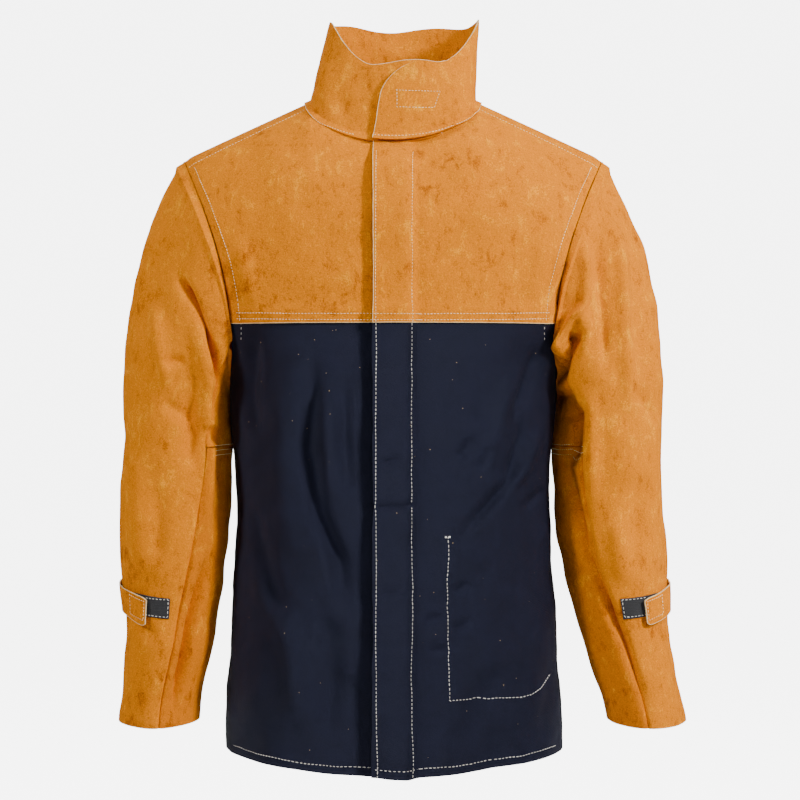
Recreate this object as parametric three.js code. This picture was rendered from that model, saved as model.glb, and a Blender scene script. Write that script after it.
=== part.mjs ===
// A split-leather and cotton welding jacket, closed and filled out as if a wearer had it on.
// Millimetres, +Z up, the front faces -Y, the wearer's left is +X.
// The origin lies between the two points where the shoulder seams meet the collar.
import * as THREE from "three";

// ---- driving sizes of the body ----
const LEATHER = 1.6;
const COTTON = 1.2;
const GAP = 0.4;
const NECK_HALF_WIDTH = 94;
const NECK_DROP_FRONT = 54;
const NECK_DROP_BACK = 14;
const SHOULDER_HALF_WIDTH = 242;
const SHOULDER_DROP = 70;
const RIDGE_TOP = -3;
const FRONT_DEPTH = 112;
const BACK_DEPTH = 98;
const SECTION_POWER = 2.5;
const SHOULDER_ROUND = 160;
const CHEST_SPREAD = 262;
const CHEST_SPREAD_END = -150;
const UNDERARM_Z = -335;
const UNDERARM_HALF_WIDTH = 188;
const WAIST_Z = -450;
const WAIST_HALF_WIDTH = 181;
const HEM_Z = -752;
const HEM_HALF_WIDTH = 195;
const HEM_DIP = 12;
const YOKE_Z = -260;
const ARMHOLE_NARROW = 181;
const ARMHOLE_NARROW_Z = -268;
const ARMHOLE_POWER = 1.8;

// ---- front closing ----
const FLAP_EDGE_X = -22;
const FLAP_FOLD_X = 28.2;
const FLAP_RAMP = 16;
const FLY_EDGE_X = -15;
const FLY_ROOT_X = 34;
const FLY_RAMP = 15;
const FLY_TOP = 34;
const UNDERLAP_EDGE_X = 10;
const NECK_LIFT = 2.2;
const NECK_LIFT_REACH = 40;
const SNAP_COUNT = 5;
const SNAP_TOP_Z = -194;
const SNAP_PITCH = 127;
const SNAP_CAP_RADIUS = 7.5;
const SNAP_SOCKET_RADIUS = 6;
const SNAP_STUD_RADIUS = 5;
const SNAP_KNOB_RADIUS = 2.3;
const SNAP_CLEARANCE = 0.5;
const SNAP_SEAT = 0.3;
const SNAP_CAP_HEIGHT = 1.7;
const SNAP_STUD_HEIGHT = 1.8;
const FLAP_CLEARANCE = 0.8;
// The fly clears the studs on the right front, and the flap clears the caps on the fly.
const FLY_LIFT = LEATHER + SNAP_SEAT + SNAP_STUD_HEIGHT + SNAP_CLEARANCE;
const FLAP_LIFT = FLY_LIFT + COTTON + SNAP_SEAT + SNAP_CAP_HEIGHT + FLAP_CLEARANCE;

// ---- inside pocket ----
const POCKET_EDGE_X = 63;
const POCKET_TOP_Z = -498;
const POCKET_BOTTOM_Z = -680;
const POCKET_DEPTH = 9.5;

// ---- collar ----
const COLLAR_RIM_HALF_WIDTH = 85;
const COLLAR_RIM_SHIFT = 12;
const COLLAR_RIM_FRONT = 80;
const COLLAR_RIM_BACK = 52;
const COLLAR_FRONT_TOP = 33;
const COLLAR_BACK_TOP = 92;
const COLLAR_LAP = 4.6;
const COLLAR_CLEARANCE = 0.7;
const COLLAR_SEAT = LEATHER + COLLAR_CLEARANCE;
const COLLAR_SEAT_LAP = NECK_LIFT + 0.6;
const COLLAR_INNER_END = 33;
const TAB_FOLD_ANGLE = 41.5;
const TAB_END_ANGLE = -13;
const PATCH = 1;

// ---- sleeves ----
const BICEP_Z = -400;
const CUFF_Z = -716;
const CUFF_OUT_RIGHT = 270;
const CUFF_OUT_LEFT = 294;
const CUFF_HALF_WIDTH = 41;
const CUFF_HALF_DEPTH = 56;
const BICEP_OUT = 251;
const BICEP_HALF_WIDTH = 61.5;
const UNDERARM_EASE = 3.6;
const BICEP_HALF_DEPTH = 74;
const CUFF_FORWARD = 24;
const CROSS_SEAM = 0.42;
const TAB_Z = -571;
const TAB_HEIGHT = 28;
const TAB_REACH = 70;

// ---- colours ----
const GOLD = { color: 0xc47a1c, roughness: 0.9, metalness: 0 };
const GOLD_DEEP = { color: 0xb56d18, roughness: 0.9, metalness: 0 };
const NAVY = { color: 0x1c2133, roughness: 0.85, metalness: 0 };
const LINING = { color: 0x2a3044, roughness: 0.85, metalness: 0 };
const BLACK = { color: 0x15161a, roughness: 0.8, metalness: 0 };
const BRASS = { color: 0xb08a45, roughness: 0.35, metalness: 1 };

const jacket = new THREE.Group();
const rad = THREE.MathUtils.degToRad;
const clamp01 = (t) => Math.min(1, Math.max(0, t));
const smooth = (t) => clamp01(t) ** 2 * (3 - 2 * clamp01(t));
const mix = (a, b, t) => a + (b - a) * t;
const signedPower = (value, power) => Math.sign(value) * Math.abs(value) ** power;

function add(name, geometry, finish) {
  const mesh = new THREE.Mesh(geometry, new THREE.MeshStandardMaterial(finish));
  mesh.name = name;
  jacket.add(mesh);
  return mesh;
}

// Height of the shoulder line, flat across the neck and falling to the shoulder tip.
function ridge(x) {
  const past = Math.max(0, Math.abs(x) - NECK_HALF_WIDTH);
  const slope = (SHOULDER_DROP + RIDGE_TOP) / (SHOULDER_HALF_WIDTH - NECK_HALF_WIDTH);
  return RIDGE_TOP - past * slope;
}

function sideHalfWidth(z) {
  if (z > WAIST_Z) {
    const t = (UNDERARM_Z - z) / (UNDERARM_Z - WAIST_Z);
    return mix(UNDERARM_HALF_WIDTH, WAIST_HALF_WIDTH, smooth(t));
  }
  return mix(WAIST_HALF_WIDTH, HEM_HALF_WIDTH, smooth((WAIST_Z - z) / (WAIST_Z - HEM_Z)));
}

function sectionHalfWidth(z) {
  if (z < UNDERARM_Z) return sideHalfWidth(z);
  const t = (CHEST_SPREAD_END - z) / (CHEST_SPREAD_END - UNDERARM_Z);
  return mix(CHEST_SPREAD, UNDERARM_HALF_WIDTH, smooth(t));
}

// Distance of the body's skin from the plane through the shoulders and side seams.
function bodyDepth(x, z, fullDepth) {
  const across = Math.abs(x) / sectionHalfWidth(z);
  const section = Math.max(0, 1 - across ** SECTION_POWER) ** (1 / SECTION_POWER);
  const below = clamp01((ridge(x) - z) / SHOULDER_ROUND);
  return fullDepth * section * Math.sqrt(2 * below - below * below);
}

function armholeX(z) {
  if (z < UNDERARM_Z) return sideHalfWidth(z);
  if (z < ARMHOLE_NARROW_Z) {
    const t = (ARMHOLE_NARROW_Z - z) / (ARMHOLE_NARROW_Z - UNDERARM_Z);
    return mix(ARMHOLE_NARROW, UNDERARM_HALF_WIDTH, smooth(t));
  }
  const t = clamp01((-SHOULDER_DROP - z) / (-SHOULDER_DROP - ARMHOLE_NARROW_Z));
  return ARMHOLE_NARROW + (SHOULDER_HALF_WIDTH - ARMHOLE_NARROW) * (1 - t) ** ARMHOLE_POWER;
}

const hemZ = (x) => HEM_Z - HEM_DIP * Math.cos(rad(90) * clamp01(Math.abs(x) / HEM_HALF_WIDTH)) ** 2;
const skin = (x, z, face) => new THREE.Vector3(
  x, face * (bodyDepth(x, z, face < 0 ? FRONT_DEPTH : BACK_DEPTH) + GAP / 2), z);

function flipped(index) {
  const turned = [];
  for (let i = 0; i < index.length; i += 3) turned.push(index[i], index[i + 2], index[i + 1]);
  return turned;
}

function enclosedVolume(points, index) {
  let volume = 0;
  for (let i = 0; i < index.length; i += 3) {
    volume += points[index[i]].dot(points[index[i + 1]].clone().cross(points[index[i + 2]]));
  }
  return volume / 6;
}

// A closed sheet of material over a patch of surface. at(u, v) gives the surface, core(u, v) a point
// that its back faces, and lift(u, v) how far the back stands off the surface.
function sheet({ nu, nv, at, core, lift, thickness }) {
  const points = [];
  const step = 1e-3;
  for (const layer of [1, 0]) {
    for (let j = 0; j <= nv; j += 1) {
      for (let i = 0; i <= nu; i += 1) {
        const u = i / nu;
        const v = j / nv;
        const p = at(u, v);
        const du = at(Math.min(1, u + step), v).sub(at(Math.max(0, u - step), v));
        const dv = at(u, Math.min(1, v + step)).sub(at(u, Math.max(0, v - step)));
        const normal = du.cross(dv).normalize();
        if (normal.dot(p.clone().sub(core(u, v))) < 0) normal.negate();
        points.push(p.addScaledVector(normal, lift(u, v) + layer * thickness));
      }
    }
  }
  const row = nu + 1;
  const back = row * (nv + 1);
  const index = [];
  const quad = (a, b, c, d) => index.push(a, b, c, a, c, d);
  for (let j = 0; j < nv; j += 1) {
    for (let i = 0; i < nu; i += 1) {
      const a = j * row + i;
      quad(a, a + 1, a + row + 1, a + row);
      quad(back + a, back + a + row, back + a + row + 1, back + a + 1);
    }
  }
  for (let i = 0; i < nu; i += 1) {
    const end = nv * row + i;
    quad(i, back + i, back + i + 1, i + 1);
    quad(end, end + 1, back + end + 1, back + end);
  }
  for (let j = 0; j < nv; j += 1) {
    const a = j * row;
    const b = a + nu;
    quad(a, a + row, back + a + row, back + a);
    quad(b, back + b, back + b + row, b + row);
  }
  const geometry = new THREE.BufferGeometry().setFromPoints(points);
  geometry.setIndex(enclosedVolume(points, index) < 0 ? flipped(index) : index);
  geometry.computeVertexNormals();
  return geometry;
}

const bodyCore = (p) => new THREE.Vector3(0, 0, p.z - 300);

function bodySheet({ nu, nv, at, lift = () => 0, thickness }) {
  return sheet({ nu, nv, at, core: (u, v) => bodyCore(at(u, v)), lift, thickness });
}

// ---- yokes: the leather over the chest, shoulders and upper back ----
const NECK_SHARE = 0.45;

function yokeTop(u, side, startX, neckDrop) {
  if (u > NECK_SHARE) {
    const x = mix(NECK_HALF_WIDTH, SHOULDER_HALF_WIDTH, (u - NECK_SHARE) / (1 - NECK_SHARE));
    return { x, z: ridge(x) };
  }
  const angle = mix(Math.asin(startX / NECK_HALF_WIDTH), Math.PI / 2, u / NECK_SHARE);
  return { x: NECK_HALF_WIDTH * Math.sin(angle), z: RIDGE_TOP - neckDrop * Math.cos(angle) };
}

function yokePoint(u, v, side, startX, neckDrop, face) {
  const top = yokeTop(u, side, startX, neckDrop);
  const armZ = mix(-SHOULDER_DROP, YOKE_Z, v);
  const squeeze = (armholeX(armZ) - startX) / (SHOULDER_HALF_WIDTH - startX);
  return skin(side * (startX + (top.x - startX) * squeeze), mix(top.z, YOKE_Z, v), face);
}

// How far the left front stands off the body where it laps over the fly, less at the collar seam.
function flapLift(p) {
  const lapped = smooth((FLAP_FOLD_X + 2 - p.x) / FLAP_RAMP);
  const neckZ = RIDGE_TOP - NECK_DROP_FRONT;
  const full = mix(NECK_LIFT, FLAP_LIFT, smooth((neckZ - p.z) / NECK_LIFT_REACH));
  return full * lapped;
}

// A sheet's grid keeps its pitch when its size changes.
const columns = (length, pitch) => Math.round(length / pitch);
add("right_front_yoke", bodySheet({
  nu: columns(UNDERLAP_EDGE_X + SHOULDER_HALF_WIDTH, 18), nv: 9, thickness: LEATHER,
  at: (u, v) => yokePoint(u, v, -1, -UNDERLAP_EDGE_X, NECK_DROP_FRONT, -1),
}), GOLD);
const leftYokeAt = (u, v) => yokePoint(u, v, 1, FLAP_EDGE_X, NECK_DROP_FRONT, -1);
add("left_front_yoke", bodySheet({
  nu: columns(SHOULDER_HALF_WIDTH - FLAP_EDGE_X, 14.67), nv: 9, thickness: LEATHER,
  at: leftYokeAt, lift: (u, v) => flapLift(leftYokeAt(u, v)),
}), GOLD);
add("back_yoke", bodySheet({
  nu: 22, nv: 9, thickness: LEATHER,
  at: (u, v) => yokePoint(Math.abs(2 * u - 1), v, 2 * u < 1 ? -1 : 1, 0, NECK_DROP_BACK, 1),
}), GOLD);

// ---- cotton panels below the yokes ----
const panelRows = columns(YOKE_Z - HEM_Z, 41);
function panelPoint(u, v, side, startX, face, topZ = YOKE_Z - GAP) {
  const roughZ = mix(topZ, HEM_Z, v);
  const width = sectionHalfWidth(roughZ);
  const angleAt = (x) => Math.asin(signedPower(Math.min(1, x / width), SECTION_POWER / 2));
  const edge = Math.asin(Math.min(1, armholeX(roughZ) / width) ** (SECTION_POWER / 2));
  const angle = mix(angleAt(startX), edge, u);
  const x = width * signedPower(Math.sin(angle), 2 / SECTION_POWER);
  const z = mix(topZ, hemZ(x), v);
  const depth = (face < 0 ? FRONT_DEPTH : BACK_DEPTH) * Math.max(0, Math.cos(angle)) ** (2 / SECTION_POWER);
  return new THREE.Vector3(side * x, face * (depth + GAP / 2), z);
}

add("right_front_panel", bodySheet({
  nu: 14, nv: panelRows, thickness: COTTON, at: (u, v) => panelPoint(u, v, -1, -UNDERLAP_EDGE_X, -1),
}), NAVY);
add("left_front_panel", bodySheet({
  nu: 13, nv: panelRows, thickness: COTTON, at: (u, v) => panelPoint(u, v, 1, FLAP_FOLD_X + GAP / 2, -1),
}), NAVY);
add("back_panel", bodySheet({
  nu: 22, nv: panelRows, thickness: COTTON,
  at: (u, v) => panelPoint(Math.abs(2 * u - 1), v, 2 * u < 1 ? -1 : 1, 0, 1),
}), NAVY);

// ---- storm flap: the free front edge of the left front, below the yoke ----
function stripPoint(u, v, fromX, toX, topZ) {
  const x = mix(fromX, toX, u);
  return skin(x, mix(topZ(x), hemZ(x), v), -1);
}
const flapAt = (u, v) => stripPoint(u, v, FLAP_EDGE_X, FLAP_FOLD_X - GAP / 2, () => YOKE_Z - GAP);
add("storm_flap", bodySheet({
  nu: 8, nv: 8, thickness: COTTON, at: flapAt, lift: (u, v) => flapLift(flapAt(u, v)),
}), NAVY);

// ---- fly: the facing under the flap that carries the snap caps and sockets ----
const neckFrontZ = (x) => RIDGE_TOP - NECK_DROP_FRONT * Math.sqrt(1 - (x / NECK_HALF_WIDTH) ** 2);
const flyAt = (u, v) => stripPoint(u, v, FLY_EDGE_X, FLY_ROOT_X, (x) => neckFrontZ(x) - FLY_TOP);
function flyLift(p) {
  const root = -(COTTON + GAP);
  return mix(root, FLY_LIFT, smooth((FLAP_FOLD_X - 1 - p.x) / FLY_RAMP));
}
add("fly_facing", bodySheet({
  nu: 9, nv: 14, thickness: COTTON, at: flyAt, lift: (u, v) => flyLift(flyAt(u, v)),
}), LINING);

// ---- snaps: a cap and a socket on the fly, and a stud on the right front ----
function turned(profile) {
  return new THREE.LatheGeometry(profile.map(([r, h]) => new THREE.Vector2(r, h)), 12);
}
const flyOuter = FLY_LIFT + COTTON + SNAP_SEAT;
const capShape = [[0, 0], [SNAP_CAP_RADIUS, 0], [SNAP_CAP_RADIUS, 0.7], [4.5, 1.5], [0, SNAP_CAP_HEIGHT]];
const socketHole = SNAP_KNOB_RADIUS + SNAP_CLEARANCE;
const socketShape = [
  [socketHole, 0], [SNAP_SOCKET_RADIUS, 0], [SNAP_SOCKET_RADIUS, 1], [socketHole, 1], [socketHole, 0]];
const studBase = LEATHER + SNAP_SEAT;
const studShape = [
  [0, 0], [SNAP_STUD_RADIUS, 0], [SNAP_STUD_RADIUS, 0.6], [SNAP_KNOB_RADIUS, 0.6],
  [SNAP_KNOB_RADIUS, SNAP_STUD_HEIGHT], [0, SNAP_STUD_HEIGHT]];
for (let n = 0; n < SNAP_COUNT; n += 1) {
  const z = SNAP_TOP_Z - n * SNAP_PITCH;
  const seat = skin(0, z, -1);
  const slope = skin(0, z + 1, -1).sub(skin(0, z - 1, -1)).normalize();
  const out = new THREE.Vector3(0, -slope.z, slope.y);
  const turn = new THREE.Quaternion().setFromUnitVectors(new THREE.Vector3(0, 1, 0), out);
  const pieces = [
    ["snap_cap", capShape, flyOuter],
    ["snap_socket", socketShape, FLY_LIFT - SNAP_SEAT - 1],
    ["snap_stud", studShape, z > YOKE_Z ? studBase : COTTON + SNAP_SEAT],
  ];
  for (const [name, shape, height] of pieces) {
    const mesh = add(`${name}_${n + 1}`, turned(shape), BRASS);
    mesh.quaternion.copy(turn);
    mesh.position.copy(seat).addScaledVector(out, height);
  }
}

// ---- inside pocket: a bag sewn to the back of the left front panel, open at its top ----
function pocketAt(u, v) {
  const z = mix(POCKET_TOP_Z, POCKET_BOTTOM_Z, v);
  const x = mix(POCKET_EDGE_X, 0.965 * sideHalfWidth(z), u);
  return skin(x, z, -1);
}
function pocketLift(u, v) {
  const edge = Math.min(u, 1 - u, 1 - v) / 0.1;
  return -(COTTON + GAP) - POCKET_DEPTH * smooth(edge);
}
add("pocket_bag", bodySheet({ nu: 10, nv: 10, thickness: COTTON, at: pocketAt, lift: pocketLift }), LINING);

// ---- collar: one stand of leather, whose left end laps over its right end at the front ----
function collarBase(angle) {
  const s = Math.sin(rad(angle));
  const c = Math.cos(rad(angle));
  const drop = c > 0 ? NECK_DROP_FRONT : NECK_DROP_BACK;
  const p = skin(NECK_HALF_WIDTH * s, RIDGE_TOP - drop * Math.abs(c), c > 0 ? -1 : 1);
  const lapped = smooth((60 - Math.abs(angle)) / 20);
  p.z += COLLAR_SEAT + COLLAR_SEAT_LAP * lapped;
  return p;
}
function collarRim(angle) {
  const s = Math.sin(rad(angle));
  const c = Math.cos(rad(angle));
  const front = c > 0 ? COLLAR_RIM_FRONT : COLLAR_RIM_BACK;
  const turn = Math.abs(((angle + 540) % 360) - 180);
  const rise = smooth((turn - 22) / 66);
  return new THREE.Vector3(
    COLLAR_RIM_SHIFT + COLLAR_RIM_HALF_WIDTH * s, -c * front, mix(COLLAR_FRONT_TOP, COLLAR_BACK_TOP, rise));
}
const collarPoint = (angle, v) => collarBase(angle).lerp(collarRim(angle), v);
const collarCore = (angle, v) => new THREE.Vector3(4, -10, collarPoint(angle, v).z);
function collarSheet({ from, to, v0 = 0, v1 = 1, nu, nv, lift, thickness }) {
  const angle = (u) => mix(from, to, u);
  const height = (v) => mix(v0, v1, v);
  return sheet({
    nu, nv, thickness,
    at: (u, v) => collarPoint(angle(u), height(v)),
    core: (u, v) => collarCore(angle(u), height(v)),
    lift: (u) => lift(angle(u)),
  });
}
const collarFar = TAB_FOLD_ANGLE - 360 + 0.3;
add("collar", collarSheet({
  from: COLLAR_INNER_END, to: collarFar, nu: 44, nv: 5, thickness: LEATHER,
  lift: (angle) => COLLAR_LAP * smooth((-278 - angle) / 36),
}), GOLD);
add("collar_tab", collarSheet({
  from: TAB_FOLD_ANGLE, to: TAB_END_ANGLE, nu: 9, nv: 5, thickness: LEATHER, lift: () => COLLAR_LAP,
}), GOLD);
const patchBand = { from: 4, to: 26, v0: 0.42, v1: 0.68, nu: 4, nv: 2, thickness: PATCH };
add("collar_loop_patch", collarSheet({ ...patchBand, lift: () => LEATHER + 0.3 }), BLACK);
add("collar_hook_patch", collarSheet({
  ...patchBand, lift: () => COLLAR_LAP - 0.3 - PATCH,
}), BLACK);

// ---- sleeves ----
function along(z, stations) {
  let k = 0;
  while (k < stations.length - 2 && z < stations[k + 1][0]) k += 1;
  const [z0, a] = stations[k];
  const [z1, b] = stations[k + 1];
  const before = stations[Math.max(0, k - 1)][1];
  const after = stations[Math.min(stations.length - 1, k + 2)][1];
  const t = clamp01((z - z0) / (z1 - z0));
  const slopeA = (b - before) / 2;
  const slopeB = (after - a) / 2;
  return a + slopeA * t + (3 * (b - a) - 2 * slopeA - slopeB) * t * t
    + (slopeA + slopeB - 2 * (b - a)) * t * t * t;
}

function sleeveShape(side) {
  const cuffOut = side < 0 ? CUFF_OUT_RIGHT : CUFF_OUT_LEFT;
  const third = (CUFF_Z - BICEP_Z) / 3;
  const stops = [0, 1, 2, 3].map((k) => BICEP_Z + third * k);
  const track = (values) => stops.map((z, k) => [z, values[k]]);
  const centre = track([BICEP_OUT, BICEP_OUT + 3, mix(BICEP_OUT, cuffOut, 0.4), cuffOut]);
  const wide = track([BICEP_HALF_WIDTH, 61, 50, CUFF_HALF_WIDTH]);
  const deep = track([BICEP_HALF_DEPTH, 73, 65, CUFF_HALF_DEPTH]);
  const forward = track([2, 6, 14, CUFF_FORWARD]);

  function ring(angle, z) {
    const c = Math.cos(rad(angle));
    const s = Math.sin(rad(angle));
    return new THREE.Vector3(
      side * (along(z, centre) + along(z, wide) * c), -along(z, forward) - along(z, deep) * s, z);
  }
  function armhole(angle) {
    const c = Math.cos(rad(angle));
    const z = mix(-SHOULDER_DROP, UNDERARM_Z, (1 - c) / 2);
    const front = Math.sin(rad(angle)) >= 0;
    const p = skin(armholeX(z), z, front ? -1 : 1);
    p.x = side * (p.x + mix(1.2, UNDERARM_EASE, (1 - c) / 2));
    p.z -= 0.5;
    return p;
  }
  // t runs from the armhole at 0 through the bicep at CAP_SHARE to the cuff at 1.
  const CAP_SHARE = 0.42;
  function at(angle, t) {
    if (t >= CAP_SHARE) return ring(angle, mix(BICEP_Z, CUFF_Z, (t - CAP_SHARE) / (1 - CAP_SHARE)));
    const u = t / CAP_SHARE;
    const start = armhole(angle);
    const end = ring(angle, BICEP_Z);
    const reach = start.distanceTo(end);
    const lean = 0.33 * (1 + Math.cos(rad(angle)));
    const leave = new THREE.Vector3(side * lean, 0, -1).normalize().multiplyScalar(reach);
    const arrive = new THREE.Vector3(0, 0, -1).multiplyScalar(reach);
    const u2 = u * u;
    const u3 = u2 * u;
    return start.multiplyScalar(2 * u3 - 3 * u2 + 1).addScaledVector(leave, u3 - 2 * u2 + u)
      .addScaledVector(end, 3 * u2 - 2 * u3).addScaledVector(arrive, u3 - u2);
  }
  function centreAt(t) {
    return at(0, t).add(at(180, t)).multiplyScalar(0.5);
  }
  return { at, centreAt };
}

// Angle of the two lengthwise seams, measured from the outside of the arm.
const seamAngle = (t) => mix(126, 98, smooth((t - 0.4) / 0.6));
const SEAM_GAP = 0.35;

for (const [name, side] of [["right", -1], ["left", 1]]) {
  const { at, centreAt } = sleeveShape(side);
  const strip = ({ from, to, t0, t1, nu, nv, lift = () => 0, thickness }) => {
    const t = (v) => mix(t0, t1, v);
    const angle = (u, v) => mix(from(t(v)), to(t(v)), u);
    return sheet({
      nu, nv, lift, thickness,
      at: (u, v) => at(angle(u, v), t(v)),
      core: (u, v) => centreAt(t(v)),
    });
  };
  const seam = (t) => seamAngle(t) - SEAM_GAP;
  const under = (t) => seamAngle(t) + SEAM_GAP;
  add(`${name}_top_sleeve`, strip({
    from: (t) => -seam(t), to: seam, t0: 0, t1: 1, nu: 20, nv: 20, thickness: LEATHER,
  }), GOLD);
  const below = CROSS_SEAM + 0.001;
  add(`${name}_under_sleeve_upper`, strip({
    from: under, to: (t) => 360 - under(t), t0: 0, t1: CROSS_SEAM - 0.001, nu: 10, nv: 6, thickness: LEATHER,
  }), GOLD_DEEP);
  add(`${name}_under_sleeve_lower`, strip({
    from: under, to: (t) => 360 - under(t), t0: below, t1: 1, nu: 8, nv: 12, thickness: LEATHER,
  }), GOLD_DEEP);

  // The cuff tab, sewn at the outside of the arm, and its two fastening patches.
  const share = (z) => 0.42 + 0.58 * (BICEP_Z - z) / (BICEP_Z - CUFF_Z);
  const band = (height) => ({ t0: share(TAB_Z + height / 2), t1: share(TAB_Z - height / 2) });
  const between = (a, b) => ({ from: () => a, to: () => b });
  const loopLift = LEATHER + 0.3;
  const hookLift = loopLift + PATCH + 0.3;
  const tabLift = hookLift + PATCH + 0.3;
  add(`${name}_cuff_tab`, strip({
    ...between(0, TAB_REACH), ...band(TAB_HEIGHT), nu: 8, nv: 2, thickness: LEATHER,
    lift: (u) => mix(LEATHER + GAP, tabLift, smooth(u * TAB_REACH / 18)),
  }), GOLD);
  add(`${name}_cuff_loop_patch`, strip({
    ...between(46, 94), ...band(TAB_HEIGHT - 8), nu: 5, nv: 1, thickness: PATCH, lift: () => loopLift,
  }), BLACK);
  add(`${name}_cuff_hook_patch`, strip({
    ...between(46, 66), ...band(TAB_HEIGHT - 8), nu: 3, nv: 1, thickness: PATCH, lift: () => hookLift,
  }), BLACK);
}

export default jacket;
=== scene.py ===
"""A split-leather and cotton welding jacket, closed and filled out as on a wearer.

The jacket is put together in the order of sewing: body panels, front closing, pocket, sleeves,
collar, fastening tape and snaps, then the thread of every seam.
"""
import math

import bpy
import numpy as np
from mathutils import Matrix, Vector, noise
from mathutils.bvhtree import BVHTree


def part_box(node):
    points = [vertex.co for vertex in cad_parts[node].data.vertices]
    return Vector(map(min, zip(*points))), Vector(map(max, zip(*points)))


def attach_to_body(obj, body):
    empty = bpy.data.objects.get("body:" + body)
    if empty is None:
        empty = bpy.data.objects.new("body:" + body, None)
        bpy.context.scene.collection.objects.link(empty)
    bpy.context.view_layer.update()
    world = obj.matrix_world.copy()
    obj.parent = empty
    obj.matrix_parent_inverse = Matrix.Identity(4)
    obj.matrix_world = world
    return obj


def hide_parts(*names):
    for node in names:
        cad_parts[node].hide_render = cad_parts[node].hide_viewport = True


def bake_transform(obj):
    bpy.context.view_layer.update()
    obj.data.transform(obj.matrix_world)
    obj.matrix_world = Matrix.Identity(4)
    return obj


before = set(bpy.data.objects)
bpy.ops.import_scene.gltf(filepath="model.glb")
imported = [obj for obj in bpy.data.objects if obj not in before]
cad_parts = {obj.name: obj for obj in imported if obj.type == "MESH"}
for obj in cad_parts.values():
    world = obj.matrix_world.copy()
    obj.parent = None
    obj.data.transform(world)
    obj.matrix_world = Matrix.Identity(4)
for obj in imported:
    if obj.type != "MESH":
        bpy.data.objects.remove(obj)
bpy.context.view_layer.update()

# ---------------------------------------------------------------------------------------------
# Camera: level with the chest, two metres in front, tipped down a little, with a portrait lens.
# It comes first because the floor and the lights are set out around it.
MM = 0.001
CAMERA_LEVEL = -300 * MM
VIEW_CENTRE = Vector((8 * MM, 0, -348 * MM))
VIEW_DISTANCE = 1.925
LENS = 74.1

camera = bpy.data.objects.new("camera", bpy.data.cameras.new("camera"))
bpy.context.collection.objects.link(camera)
camera.data.lens = LENS
camera.location = (VIEW_CENTRE.x, -VIEW_DISTANCE, CAMERA_LEVEL)
camera.rotation_euler = (VIEW_CENTRE - camera.location).to_track_quat("-Z", "Y").to_euler()
bpy.context.scene.camera = camera

# ---------------------------------------------------------------------------------------------
# Split leather: the flesh side of cowhide, dyed gold, with a short nap that is brushed lighter
# and darker in patches. Its cut edges show the undyed core of the hide as a pale line.


class Wire:
    """A socket of a material whose operators add Math nodes."""

    def __init__(self, kit, socket):
        self.kit = kit
        self.socket = socket

    def combine(self, operation, *values):
        return self.kit.node("ShaderNodeMath", {"operation": operation}, dict(enumerate(values)))

    def __add__(self, other):
        return self.combine("ADD", self, other)

    def __rsub__(self, other):
        return self.combine("SUBTRACT", other, self)

    def __mul__(self, other):
        return self.combine("MULTIPLY", self, other)

    def __gt__(self, other):
        return self.combine("GREATER_THAN", self, other)

    __radd__ = __add__
    __rmul__ = __mul__


class Finish:
    """A material under construction. node() adds any node and gives back its first output."""

    def __init__(self, name):
        self.material = bpy.data.materials.new(name)
        self.material.use_nodes = True
        self.tree = self.material.node_tree
        self.shader = self.tree.nodes["Principled BSDF"]

    def node(self, kind, settings=None, inputs=None, output=0):
        made = self.tree.nodes.new(kind)
        for key, value in (settings or {}).items():
            if key == "stops":
                ramp = made.color_ramp
                while len(ramp.elements) < len(value):
                    ramp.elements.new(1.0)
                for element, (place, colour) in zip(ramp.elements, value):
                    element.position = place
                    element.color = (*colour, 1)
            else:
                setattr(made, key, value)
        for key, value in (inputs or {}).items():
            self.feed(made.inputs[key], value)
        return Wire(self, made.outputs[output])

    def feed(self, socket, value):
        if isinstance(value, Wire):
            self.tree.links.new(value.socket, socket)
        else:
            socket.default_value = value

    def place(self, stretch=(1, 1, 1)):
        """Object coordinates in metres, stretched along each axis."""
        point = self.node("ShaderNodeTexCoord", output=3)
        return self.node("ShaderNodeVectorMath", {"operation": "MULTIPLY"}, {0: point, 1: stretch})

    def noise(self, where, scale, detail=2.0, rough=0.5, distortion=0.0):
        return self.node("ShaderNodeTexNoise", None, {
            "Vector": where, "Scale": scale, "Detail": detail, "Roughness": rough,
            "Distortion": distortion})

    def ramp(self, value, stops):
        return self.node("ShaderNodeValToRGB", {"stops": stops}, {"Fac": value})

    def blend(self, factor, first, second):
        return self.node("ShaderNodeMix", {"data_type": "RGBA"}, {
            "Factor": factor, 6: first, 7: second}, output=2)

    def bump(self, height, depth, strength=1.0):
        """depth is in metres, the height of a full step of the height value."""
        return self.node("ShaderNodeBump", None, {
            "Height": height, "Distance": depth, "Strength": strength})

    def finish(self, colour, roughness, normal=None, **fixed):
        self.feed(self.shader.inputs["Base Color"], colour)
        self.feed(self.shader.inputs["Roughness"], roughness)
        if normal is not None:
            self.feed(self.shader.inputs["Normal"], normal)
        for key, value in fixed.items():
            self.shader.inputs[key.replace("_", " ")].default_value = value
        return self.material


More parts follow.
